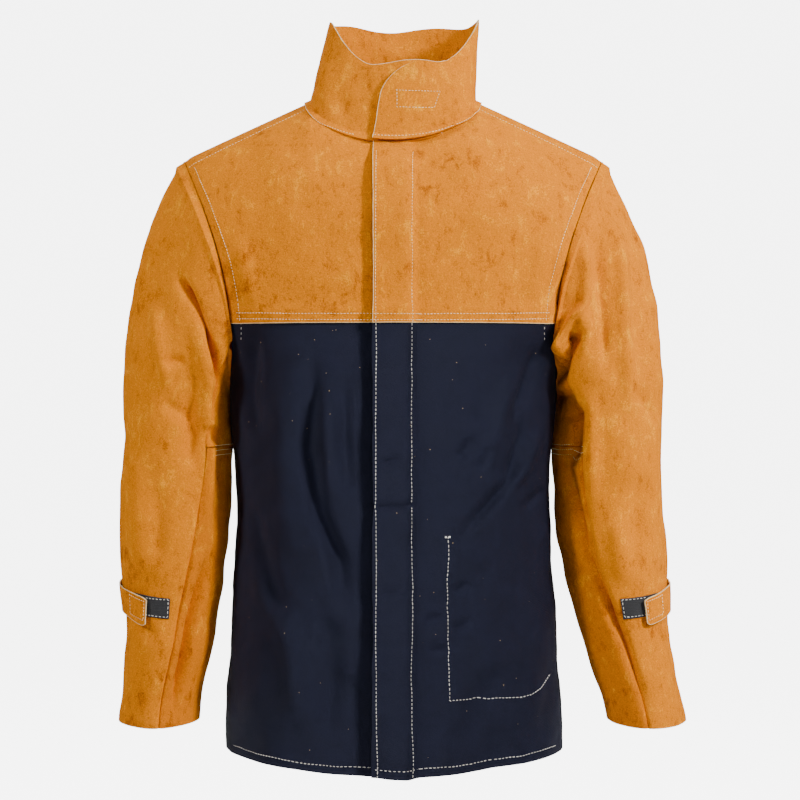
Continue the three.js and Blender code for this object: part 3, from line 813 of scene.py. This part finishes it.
def sleeve_drape(side, points, degrees, t):
    x, z = points[..., 0], points[..., 2]
    front = smooth((np.sin(np.radians(degrees)) + 0.25) / 0.45)
    rise = np.zeros(x.shape)
    for route, width, height in (RIGHT_SLEEVE_FOLDS if side < 0 else LEFT_SLEEVE_FOLDS):
        rise += fold(x, z, route, width, height) * front
    wrapped = (degrees + 180) % 360 - 180
    back_x = np.abs(wrapped) * 1.15
    for route, width, height in (([(90, -180), (120, -290), (150, -330)], 13, -6),
                                 ([(60, -240), (110, -370), (140, -420)], 13, 3.5),
                                 ([(80, -400), (120, -480), (150, -500)], 11, -4),
                                 ([(50, -430), (100, -540)], 13, 3)):
        rise += fold(back_x, z, route, width, height) * (1 - front)
    rise = SLEEVE_FOLD_DEPTH * rise
    rise += 3.4 * swell(points, 74, 11.3 + side) + 1.7 * swell(points, 30, 4.1 + side)
    set_in = smooth(t / 0.045)
    cuff_wave = smooth((t - 0.93) / 0.07) * (1.4 * np.sin(np.radians(degrees) * 4 + 1) + 1.2)
    seam_lip = 2.6 * np.exp(-((t * ARM_LENGTH - 9) / 3.5) ** 2)
    return rise * set_in + cuff_wave + seam_lip - 1.6 * (1 - smooth(t / 0.012))


SEAM_ROLL = 3.2
ARMPIT_TUCKS = {
    -1: [([(-240, -214), (-222, -262), (-213, -306), (-210, -345)], 7, 7)],
    1: [([(230, -228), (212, -252), (202, -278), (196, -306)], 7, -7)],
}


def sleeve_sheet(name, side, first, last, t_from, t_to, nu, nv, finishes, raw=()):
    u, v = square(nu, nv)
    t = mix(t_from, t_to, v)
    degrees = mix(first(t), last(t), spread(u))
    pattern = sleeve_point(side, degrees, t)
    girth = np.abs(last(t) - first(t)) * 1.1
    shape = sleeve_drape(side, pattern, degrees, t)
    points = pattern.copy()
    for route, width, slide in ARMPIT_TUCKS[side]:
        in_front = smooth(np.sin(np.radians(degrees)) / 0.3) * smooth(t / 0.06)
        points[..., 0] += fold(pattern[..., 0], pattern[..., 2], route, width, slide) * in_front
    shape += seam_dip(u * girth, SEAM_ROLL, 4) + seam_dip((1 - u) * girth, SEAM_ROLL, 4)
    piece = cloth(name, points, sleeve_core(side, t), LEATHER, finishes, drape=shape, raw=raw)
    return piece, pattern


def move_with_sleeve(piece, prefix):
    prefix + "_sleeve"
    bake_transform(piece)


# The darker leather of the under sleeves is painted shade.
UNDER_FINISHES_PAINTED_SHADE = (under_leather_painted_shade, hide_edge, under_leather_painted_shade)
sleeve_parts = {}
for prefix, side in SIDES:
    top, pattern = sleeve_sheet(
        prefix + "_top_sleeve_leather", side, lambda t: 0.3 - seam_angle(t),
        lambda t: seam_angle(t) - 0.3, 0, 1, 150, 230, LEATHER_FINISHES, ("bottom",))
    move_with_sleeve(top, prefix)
    declare(prefix + "_top_sleeve", pattern)
    sleeve_parts[prefix] = [top]
    for part, t_from, t_to, width, length, rows in (
            ("upper", 0, CROSS_SEAM - 0.001, 165, 125, 60),
            ("lower", CROSS_SEAM + 0.001, 1, 155, 330, 130)):
        under, pattern = sleeve_sheet(
            f"{prefix}_under_sleeve_{part}_leather", side, lambda t: seam_angle(t) + 0.3,
            lambda t: 359.7 - seam_angle(t), t_from, t_to, 70, rows, UNDER_FINISHES_PAINTED_SHADE,
            ("bottom",) if part == "lower" else ())
        move_with_sleeve(under, prefix)
        node = f"{prefix}_under_sleeve_{part}"
        declare(node, pattern)
        sleeve_parts[prefix].append(under)

# ---------------------------------------------------------------------------------------------
# Collar: one stand of leather, open at the front, whose left end is a tab that laps over the
# right end and is held by a patch of hook-and-loop tape.
COLLAR_RIM_HALF_WIDTH = 85
COLLAR_RIM_SHIFT = 12
COLLAR_RIM_FRONT = 80
COLLAR_RIM_BACK = 52
COLLAR_FRONT_TOP = 33
COLLAR_BACK_TOP = corner("collar", 1, 2)
COLLAR_LAP = 4.6
COLLAR_SEAT = LEATHER + 0.7
COLLAR_SEAT_LAP = NECK_LIFT + 0.6
COLLAR_INNER_END = 33
TAB_FOLD_ANGLE = 41.5
TAB_END_ANGLE = -13
TAB_CORNER = 33
COLLAR_HEIGHT = 100


def collar_point(degrees, v):
    """v is 0 at the neck seam and 1 at the rim. Below 0 the raw lower edge lies over the yokes."""
    angle = np.radians(degrees)
    s, c = np.sin(angle), np.cos(angle)
    skirt = COLLAR_HEIGHT * np.maximum(0, -v)
    v = np.maximum(0, v)
    x = (NECK_HALF_WIDTH + skirt) * s
    z = RIDGE_TOP - (np.where(c > 0, NECK_DROP_FRONT, NECK_DROP_BACK) + skirt) * np.abs(c)
    z = np.minimum(z, ridge(x))
    y = np.where(c > 0, -body_depth(x, z, FRONT_DEPTH), body_depth(x, z, BACK_DEPTH))
    turn = np.abs((degrees + 540) % 360 - 180)
    base_z = z + COLLAR_SEAT + COLLAR_SEAT_LAP * smooth((60 - turn) / 20)
    rim_y = -c * np.where(c > 0, COLLAR_RIM_FRONT, COLLAR_RIM_BACK)
    rim_z = mix(COLLAR_FRONT_TOP, COLLAR_BACK_TOP, smooth((turn - 22) / 66))
    base = np.stack([x, y, base_z], axis=-1)
    rim = np.stack([COLLAR_RIM_SHIFT + COLLAR_RIM_HALF_WIDTH * s, rim_y, rim_z], axis=-1)
    return mix(base, rim, v[..., None])


def collar_core(points):
    core = np.zeros_like(points)
    core[..., 0], core[..., 1], core[..., 2] = 4, -10, points[..., 2]
    return core


def collar_drape(points, degrees, v):
    turn = (degrees + 180) % 360 - 180
    rise = 1.6 * swell(points, 46, 21.5) + 0.6 * swell(points, 19, 2.2)
    rise += 3.4 * np.exp(-((v - 0.45) / 0.3) ** 2) * np.exp(-((turn + 62) / 20) ** 2)
    rise -= 3.0 * np.exp(-((v - 0.3) / 0.2) ** 2) * np.exp(-((turn + 42) / 9) ** 2)
    rise -= 2.2 * np.exp(-((v - 0.62) / 0.2) ** 2) * np.exp(-((turn + 28) / 8) ** 2)
    rise += 1.5 * np.sin(np.radians(turn) * 6) * v ** 3
    return rise * smooth(v / 0.2)


def tab_lift(degrees):
    return COLLAR_LAP * smooth((-278 - degrees) / 36)


def rim_wave(degrees, v):
    return (2.2 * np.sin(np.radians(degrees) * 5 + 0.6) - 1.2) * np.maximum(0, v) ** 4


COLLAR_LOWER_EDGE = 0.075
u, v = square(260, 76)
v = mix(-COLLAR_LOWER_EDGE, 1, v)
degrees = mix(COLLAR_INNER_END, TAB_FOLD_ANGLE - 360, u)
collar_points = collar_point(degrees, v)
collar_pattern = collar_points.copy()
collar_points[..., 2] += rim_wave(degrees, v)
collar = cloth("collar_leather", collar_points, collar_core(collar_points), LEATHER, LEATHER_FINISHES,
               lift=tab_lift(degrees), drape=collar_drape(collar_points, degrees, v),
               raw=("bottom", "left"))
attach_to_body(collar, "torso")
declare("collar", collar_pattern)

u, v = square(70, 76)
v = mix(-COLLAR_LOWER_EDGE, 1, v)
rounding = 1 - np.sqrt(np.maximum(0, 1 - np.maximum(0, (v - 0.5) / 0.5) ** 2))
tab_degrees = mix(TAB_FOLD_ANGLE, TAB_END_ANGLE + TAB_CORNER * rounding, u)
tab_pattern = collar_point(tab_degrees, v)
tab_points = tab_pattern.copy()
tab_points[..., 2] += rim_wave(tab_degrees, v)
tab = cloth("collar_tab_leather", tab_points, collar_core(tab_points), LEATHER, LEATHER_FINISHES,
            lift=COLLAR_LAP + 0.6 * u, drape=collar_drape(tab_points, tab_degrees, v),
            raw=("bottom", "right"))


def move_with_tab(piece):
    """Bakes the piece's placement into its mesh."""
    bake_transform(piece)


move_with_tab(tab)
declare("collar_tab", tab_pattern)

# ---------------------------------------------------------------------------------------------
# Hook-and-loop tape: black squares of woven nylon pile, one pair at the collar and one on each
# cuff. The cuff tabs are short straps of leather, sewn on at the outside of the arm.


def pile_tape():
    tape = Finish("hook_and_loop_tape")
    where = tape.place()
    pile = tape.noise(where, 2600, 2, 0.7)
    rows = tape.node("ShaderNodeTexWave", {"bands_direction": "Z"}, {
        "Vector": where, "Scale": 190, "Distortion": 3, "Detail": 2})
    colour = tape.ramp(pile * 0.7 + rows * 0.3, [(0.3, (0.004, 0.004, 0.005)), (0.75, (0.02, 0.02, 0.023))])
    return tape.finish(colour, 0.9, tape.bump(pile, 0.0008, 0.8), Sheen_Weight=0.1)


tape_finish = pile_tape()
TAPE_FINISHES = (tape_finish, tape_finish, tape_finish)
PATCH = 1
TAB_Z = -571
TAB_HEIGHT = 28
TAB_REACH = 70
TAB_SLANT = 14
PATCH_GAP = 0.3

u, v = square(24, 16)
patch_degrees = mix(4, 26, u)
patch_points = collar_point(patch_degrees, mix(0.42, 0.68, v))
patch_shape = collar_drape(patch_points, patch_degrees, mix(0.42, 0.68, v))
for name, node, lift in (("collar_loop_tape", "collar_loop_patch", LEATHER + PATCH_GAP),
                         ("collar_hook_tape", "collar_hook_patch", COLLAR_LAP - PATCH_GAP - PATCH)):
    patch = cloth(name, patch_points, collar_core(patch_points), PATCH, TAPE_FINISHES,
                  lift=lift, drape=patch_shape)
    if node == "collar_hook_patch":
        move_with_tab(patch)
    else:
        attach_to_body(patch, "torso")
    declare(node, patch_points)


def cuff_band(side, first, last, height, nu, nv, middle_z=TAB_Z, slant=0.0, rounded=0.0):
    """A strip round the cuff from one angle to another, whose far end may drop and be rounded."""
    u, v = square(nu, nv)
    degrees = mix(first, last, u)
    ends = 1 - rounded * np.maximum(0, (u - 0.86) / 0.14) ** 3
    z = middle_z + height * (0.5 - v) * ends - slant * u
    t = CAP_SHARE + (1 - CAP_SHARE) * (BICEP_Z - z) / (BICEP_Z - CUFF_Z)
    points = sleeve_point(side, degrees, t)
    return points, sleeve_core(side, t), sleeve_drape(side, points, degrees, t), u


cuff_tabs = {}
loop_tapes = {}
TAB_LIFT = LEATHER + 3 * PATCH_GAP + 2 * PATCH
for prefix, side in SIDES:
    points, core, shape, u = cuff_band(side, 0, TAB_REACH, TAB_HEIGHT + 2, 40, 18, slant=TAB_SLANT,
                                       rounded=0.16)
    lift = mix(LEATHER + 0.4, TAB_LIFT, smooth(u * TAB_REACH / 18)) + 1.6 * u ** 4
    strap = cloth(prefix + "_cuff_tab_leather", points, core, LEATHER, LEATHER_FINISHES,
                  lift=lift, drape=shape, raw=("top", "bottom", "right"))
    hinge = Vector((side * corner(prefix + "_cuff_tab", 0 if side < 0 else 1, 0) * side * MM,
                    -0.0101, TAB_Z * MM))
    strap_start = hinge + Vector((0, 0.004, 0))
    strap_end = hinge + Vector((0, -0.014, 0))
    prefix + "_sleeve"
    prefix + "_cuff_tab"
    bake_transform(strap)
    declare(prefix + "_cuff_tab", points)
    cuff_tabs[prefix] = (strap, strap_start, strap_end)
    points, core, shape, u = cuff_band(side, 46, 96, TAB_HEIGHT - 5, 26, 14, middle_z=TAB_Z - 6, slant=4)
    loop = cloth(prefix + "_cuff_loop_tape", points, core, PATCH, TAPE_FINISHES,
                 lift=LEATHER + PATCH_GAP, drape=shape)
    move_with_sleeve(loop, prefix)
    declare(prefix + "_cuff_loop_patch", points)
    loop_tapes[prefix] = loop
    points, core, shape, u = cuff_band(side, 46, 66, TAB_HEIGHT - 8, 14, 12, middle_z=TAB_Z - 8, slant=4)
    hook = cloth(prefix + "_cuff_hook_tape", points, core, PATCH, TAPE_FINISHES,
                 lift=LEATHER + 2 * PATCH_GAP + PATCH, drape=shape)
    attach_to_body(hook, prefix + "_cuff_tab")
    declare(prefix + "_cuff_hook_patch", points)

# ---------------------------------------------------------------------------------------------
# Pocket: a cotton bag inside the left front, sewn through to the face. Only its stitches show.
POCKET_EDGE_X = 63
POCKET_TOP_Z = -498
POCKET_BOTTOM_Z = corner("pocket_bag", 0, 2)
POCKET_DEPTH = 9.5
u, v = square(60, 80)
pocket_z = mix(POCKET_TOP_Z, POCKET_BOTTOM_Z, v)
pocket_points = skin(mix(POCKET_EDGE_X, 0.965 * side_half_width(pocket_z), u), pocket_z, -1)
pocket_edge = np.minimum(np.minimum(u, 1 - u), 1 - v) / 0.1
pocket = cloth("pocket_cotton", pocket_points, body_core(pocket_points), COTTON, fly_finishes,
               lift=-(COTTON + 1.4) - POCKET_DEPTH * smooth(pocket_edge),
               drape=body_drape(pocket_points, -1, True))
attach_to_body(pocket, "torso")
declare("pocket_bag", pocket_points)

# ---------------------------------------------------------------------------------------------
# Snaps: turned and pressed brass, with fine lathe rings and darker handled patches.


def pressed_brass():
    brass = Finish("pressed_brass")
    where = brass.place()
    worn = brass.noise(where, 420, 3, 0.6)
    colour = brass.ramp(worn, [(0.35, (0.42, 0.27, 0.09)), (0.62, (0.86, 0.62, 0.28))])
    return brass.finish(colour, 0.22 + 0.3 * worn, brass.bump(worn, 0.00005, 0.3), Metallic=1.0)


brass_finish = pressed_brass()
for node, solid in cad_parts.items():
    if node.startswith("snap_"):
        for place in solid.material_slots:
            place.material = brass_finish

# ---------------------------------------------------------------------------------------------
# Thread: undyed cotton-wrapped yarn, about four millimetres to a stitch. Each stitch is a short arc
# that dips into the cloth at both ends. Rows on the torso pieces hang from the torso empty, and the others
# are fixed in place.
LEATHER_PITCH = 3.6
COTTON_PITCH = 4.4
STITCH_SHARE = 0.68
THREAD_RADIUS = 0.42
OFF_CLOTH = 14
OFF_SLEEVE = 6
THREAD_REACH = 30 * MM


def sewing_thread(name, shade, light):
    thread = Finish(name)
    ply = thread.noise(thread.place(), 1900, 2, 0.6)
    patchy = thread.noise(thread.place(), 60, 2)
    colour = thread.ramp(ply * 0.5 + patchy * 0.5, [(0.38, shade), (0.6, light)])
    return thread.finish(colour, 0.75, thread.bump(ply, 0.0002), Sheen_Weight=0.1)


pale_thread = sewing_thread("pale_thread", (0.6, 0.4, 0.14), (0.9, 0.76, 0.42))
white_thread = sewing_thread("white_thread", (0.4, 0.37, 0.32), (0.8, 0.77, 0.7))


def evenly(route, pitch):
    """Points along a route, pitch apart."""
    route = np.asarray(route, float)
    steps = np.linalg.norm(np.diff(route, axis=0), axis=1)
    reached = np.concatenate([[0], np.cumsum(steps)])
    count = max(2, int(reached[-1] / pitch))
    wanted = np.linspace(0, reached[-1], count)
    return np.stack([np.interp(wanted, reached, route[:, k]) for k in range(3)], axis=1)


def sew(name, carrier, rows, finish, attach):
    """Stitches along rows of points (in millimetres) that lie near the outer face of carrier."""
    mesh = carrier.data
    surface = BVHTree.FromPolygons([p.co for p in mesh.vertices], [f.vertices for f in mesh.polygons])
    pitch = COTTON_PITCH if finish is white_thread else LEATHER_PITCH
    length = pitch * STITCH_SHARE
    firsts, lasts, ups = [], [], []
    for row in rows:
        centres = evenly(row, pitch)
        along_row = np.gradient(centres, axis=0)
        along_row /= np.maximum(np.linalg.norm(along_row, axis=1, keepdims=True), 1e-9)
        for centre, way in zip(centres, along_row):
            spots = [surface.find_nearest(Vector((centre + way * length * half) * MM))
                     for half in (-0.5, 0.5)]
            if spots[0][3] > THREAD_REACH or spots[1][3] > THREAD_REACH:
                continue
            firsts.append(spots[0][0])
            lasts.append(spots[1][0])
            ups.append(spots[0][1] + spots[1][1])
    first = np.array(firsts)
    last = np.array(lasts)
    up = np.array(ups)
    up /= np.linalg.norm(up, axis=1, keepdims=True)
    across = np.cross(last - first, up)
    across /= np.linalg.norm(across, axis=1, keepdims=True)
    radius = THREAD_RADIUS * MM
    stations = ((0.0, 0.35, -0.5), (0.14, 0.9, 0.15), (0.5, 1.0, 0.55), (0.86, 0.9, 0.15), (1.0, 0.35, -0.5))
    sides = 6
    rings = []
    for share, girth, height in stations:
        centre = first + (last - first) * share + up * radius * height
        for k in range(sides):
            turn = 2 * math.pi * k / sides
            rings.append(centre + radius * girth * (math.cos(turn) * across + math.sin(turn) * up))
    points = np.stack(rings, axis=1)
    one = len(stations) * sides
    faces = []
    for ring in range(len(stations) - 1):
        for k in range(sides):
            a, b = ring * sides + k, ring * sides + (k + 1) % sides
            faces.append((a, b, b + sides, a + sides))
    starts = np.arange(len(first))[:, None, None] * one
    quads = (np.array(faces)[None] + starts).reshape(-1, 4)
    made = bpy.data.meshes.new(name)
    made.from_pydata(points.reshape(-1, 3).tolist(), [], quads.tolist())
    made.materials.append(finish)
    made.polygons.foreach_set("use_smooth", np.ones(len(quads), bool))
    made.update()
    thread = bpy.data.objects.new(name, made)
    bpy.context.collection.objects.link(thread)
    attach(thread)
    "fastening_tape" if "tape" in name else "split_leather"
    return thread


def ride_torso(piece):
    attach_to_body(piece, "torso")


def face_row(x, z, face=-1):
    """A row over the body, held a little off it."""
    x, z = np.broadcast_arrays(np.asarray(x, float), np.asarray(z, float))
    row = skin(x, z, face)
    row[:, 1] += face * OFF_CLOTH
    return row


def line(a, b, count=60):
    return np.linspace(a, b, count)


def row_through(corners, on_piece, count):
    """A row that turns at each corner, given in the two coordinates that on_piece takes."""
    return np.concatenate([on_piece(line(a[0], b[0], count), line(a[1], b[1], count))
                           for a, b in zip(corners[:-1], corners[1:])])


FLAP_ROWS = (FLAP_EDGE_X + 3.5, FLAP_FOLD_X - 1.4)
arm_z = line(-78, YOKE_Z + 2)
arm_in = armhole_x(arm_z) - 6
panel_z = line(YOKE_Z - 2, YOKE_Z - 20, 12)
panel_in = armhole_x(panel_z) - 6
for side, piece, start in ((-1, right_yoke, FLAP_EDGE_X - 2), (1, left_yoke, FLAP_EDGE_X + 2)):
    across = line(start, side * (armhole_x(YOKE_Z) - 3))
    shoulder_x = side * line(NECK_HALF_WIDTH + 6, SHOULDER_HALF_WIDTH - 3)
    rows = [face_row(across, YOKE_Z + 3), face_row(across, YOKE_Z + 9.6), face_row(side * arm_in, arm_z),
            face_row(shoulder_x, ridge(shoulder_x) - 7)]
    if side > 0:
        rows += [face_row(x, line(-66, YOKE_Z + 2)) for x in FLAP_ROWS]
    sew(piece.name + "_stitches", piece, rows, pale_thread, ride_torso)
across = line(-armhole_x(YOKE_Z) + 3, armhole_x(YOKE_Z) - 3, 160)
shoulder = line(NECK_HALF_WIDTH + 6, SHOULDER_HALF_WIDTH - 3)
rows = [face_row(across, YOKE_Z + 3, 1), face_row(across, YOKE_Z + 9.6, 1)]
rows += [face_row(side * arm_in, arm_z, 1) for side in (-1, 1)]
rows += [face_row(side * shoulder, ridge(shoulder) - 7, 1) for side in (-1, 1)]
sew("back_yoke_stitches", back_yoke, rows, pale_thread, ride_torso)


def hem_row(first, last, face=-1):
    x = line(first, last, 90)
    return face_row(x, hem_z(x) + 9.5, face)


cotton = {name: bpy.data.objects[name]
          for name in ("right_front_cotton", "left_front_cotton", "back_cotton")}
hem_end = HEM_HALF_WIDTH - 6
sew("right_front_cotton_stitches", cotton["right_front_cotton"],
    [hem_row(-hem_end, FLAP_EDGE_X - 2), face_row(-panel_in, panel_z)], white_thread, ride_torso)
pocket_x = [POCKET_EDGE_X, POCKET_EDGE_X - 1, POCKET_EDGE_X + 1, 100, 118, 146, 160, 172, 184]
pocket_row_z = [POCKET_TOP_Z, POCKET_TOP_Z - 72, POCKET_BOTTOM_Z + 2, -678, -677, -678, -676, -671, -661]
bar_tack = [face_row(line(POCKET_EDGE_X - 3, POCKET_EDGE_X + 2, 8), POCKET_TOP_Z + rise)
            for rise in (0, 0.8, 1.6)]
sew("left_front_cotton_stitches", cotton["left_front_cotton"],
    [hem_row(FLAP_FOLD_X, hem_end), face_row(panel_in, panel_z), face_row(pocket_x, pocket_row_z)]
    + bar_tack, white_thread, ride_torso)
sew("back_cotton_stitches", cotton["back_cotton"],
    [hem_row(-hem_end, hem_end, 1), face_row(panel_in, panel_z, 1), face_row(-panel_in, panel_z, 1)],
    white_thread, ride_torso)
sew("storm_flap_stitches", flap,
    [hem_row(FLAP_EDGE_X + 2, FLAP_FOLD_X)]
    + [face_row(x, line(YOKE_Z - 2, HEM_Z - HEM_DIP + 3, 120)) for x in FLAP_ROWS],
    white_thread, lift_with_flap)


def off_collar(degrees, v):
    points = collar_point(np.asarray(degrees, float), np.broadcast_to(v, np.shape(degrees)).astype(float))
    away = points - collar_core(points)
    away[:, 2] = 0
    return points + away / np.linalg.norm(away, axis=1, keepdims=True) * OFF_CLOTH


sew("collar_stitches", collar, [off_collar(line(-24, TAB_FOLD_ANGLE - 360, 220), 0.035)],
    pale_thread, ride_torso)
box_corners = [(-2, 0.6), (27, 0.57), (24, 0.35), (0, 0.38), (-2, 0.6)]
box_row = row_through(box_corners, off_collar, 16)
sew("collar_tab_stitches", tab,
    [off_collar(line(TAB_FOLD_ANGLE, TAB_END_ANGLE + 1, 40), 0.035), box_row], pale_thread, move_with_tab)

for prefix, side in SIDES:
    def off_sleeve(degrees, t):
        degrees, t = np.broadcast_arrays(np.asarray(degrees, float), np.asarray(t, float))
        points = sleeve_point(side, degrees, t)
        away = points - sleeve_core(side, t)
        return points + away / np.linalg.norm(away, axis=1, keepdims=True) * OFF_SLEEVE

    def attach_sleeve(piece):
        move_with_sleeve(piece, prefix)

    upper, lower = sleeve_parts[prefix][1:]
    span = line(seam_angle(CROSS_SEAM) + 4, 356 - seam_angle(CROSS_SEAM), 60)
    sew(prefix + "_upper_under_sleeve_stitches", upper, [off_sleeve(span, CROSS_SEAM - 0.008)],
        pale_thread, attach_sleeve)
    sew(prefix + "_lower_under_sleeve_stitches", lower,
        [off_sleeve(span, CROSS_SEAM + 0.008), off_sleeve(span, CROSS_SEAM + 0.018)],
        pale_thread, attach_sleeve)

    def off_cuff(degrees, z):
        degrees, z = np.broadcast_arrays(np.asarray(degrees, float), np.asarray(z, float))
        t = CAP_SHARE + (1 - CAP_SHARE) * (BICEP_Z - z) / (BICEP_Z - CUFF_Z)
        return off_sleeve(degrees, t)

    strap, strap_start, strap_end = cuff_tabs[prefix]

    def attach_strap(piece):
        prefix + "_sleeve"
        prefix + "_cuff_tab"
        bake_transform(piece)

    box = [(42, TAB_Z + 3), (66, TAB_Z - 2), (66, TAB_Z - 23), (42, TAB_Z - 18), (42, TAB_Z + 3)]
    box_row = row_through(box, off_cuff, 12)
    sew(prefix + "_cuff_tab_stitches", strap, [box_row], pale_thread, attach_strap)
    edge = [(66, TAB_Z + 2), (94, TAB_Z), (94, TAB_Z - 19), (66, TAB_Z - 17)]
    edge_row = row_through(edge, off_cuff, 12)
    sew(prefix + "_cuff_tape_stitches", loop_tapes[prefix], [edge_row], white_thread, attach_sleeve)

# ---------------------------------------------------------------------------------------------
# Lights and floor: one large soft box high on the wearer's left, a weaker one on the right, a
# strip above, and a pale floor well below the hem. The backdrop is white.
FLOOR_Z = -1.3
AMBIENT = 0.03
BACKDROP = 6.0


def soft_box(name, place, aim, size, watts):
    lamp = bpy.data.lights.new(name, "AREA")
    lamp.shape = "DISK"
    lamp.size = size
    lamp.energy = watts
    holder = bpy.data.objects.new(name, lamp)
    bpy.context.collection.objects.link(holder)
    holder.location = place
    holder.rotation_euler = (Vector(aim) - Vector(place)).to_track_quat("-Z", "Y").to_euler()


soft_box("key_light", (2.05, -1.35, 0.95), (0, 0, -0.3), 0.45, 128)
soft_box("fill_light", (-2.05, -1.1, 0.85), (0, 0, -0.3), 0.45, 50)
soft_box("front_light", (0.5, -2.6, 0.5), (0, 0, -0.3), 0.5, 10)
soft_box("top_light", (0.2, -0.4, 1.7), (0, 0, -0.3), 0.6, 15)
soft_box("back_light", (-0.6, 2.4, 0.9), (0, 0, -0.3), 1.6, 30)

floor_mesh = bpy.data.meshes.new("floor")
floor_mesh.from_pydata([(-9, -9, FLOOR_Z), (9, -9, FLOOR_Z), (9, 9, FLOOR_Z), (-9, 9, FLOOR_Z)],
                       [], [(0, 1, 2, 3)])
floor_finish = Finish("pale_floor")
seen = floor_finish.node("ShaderNodeLightPath", output=0)
floor_finish.feed(floor_finish.shader.inputs["Emission Color"], seen)
floor_finish.shader.inputs["Emission Strength"].default_value = BACKDROP
floor_mesh.materials.append(floor_finish.finish((0.8, 0.8, 0.8, 1), 0.9))
floor_plane = bpy.data.objects.new("floor", floor_mesh)
bpy.context.collection.objects.link(floor_plane)

world = bpy.data.worlds.new("studio")
bpy.context.scene.world = world
world.use_nodes = True
background = world.node_tree.nodes["Background"]
background.inputs["Color"].default_value = (1, 1, 1, 1)
seen = world.node_tree.nodes.new("ShaderNodeLightPath")
strength = world.node_tree.nodes.new("ShaderNodeMapRange")
strength.inputs["To Min"].default_value = AMBIENT
strength.inputs["To Max"].default_value = BACKDROP
world.node_tree.links.new(seen.outputs["Is Camera Ray"], strength.inputs["Value"])
world.node_tree.links.new(strength.outputs["Result"], background.inputs["Strength"])
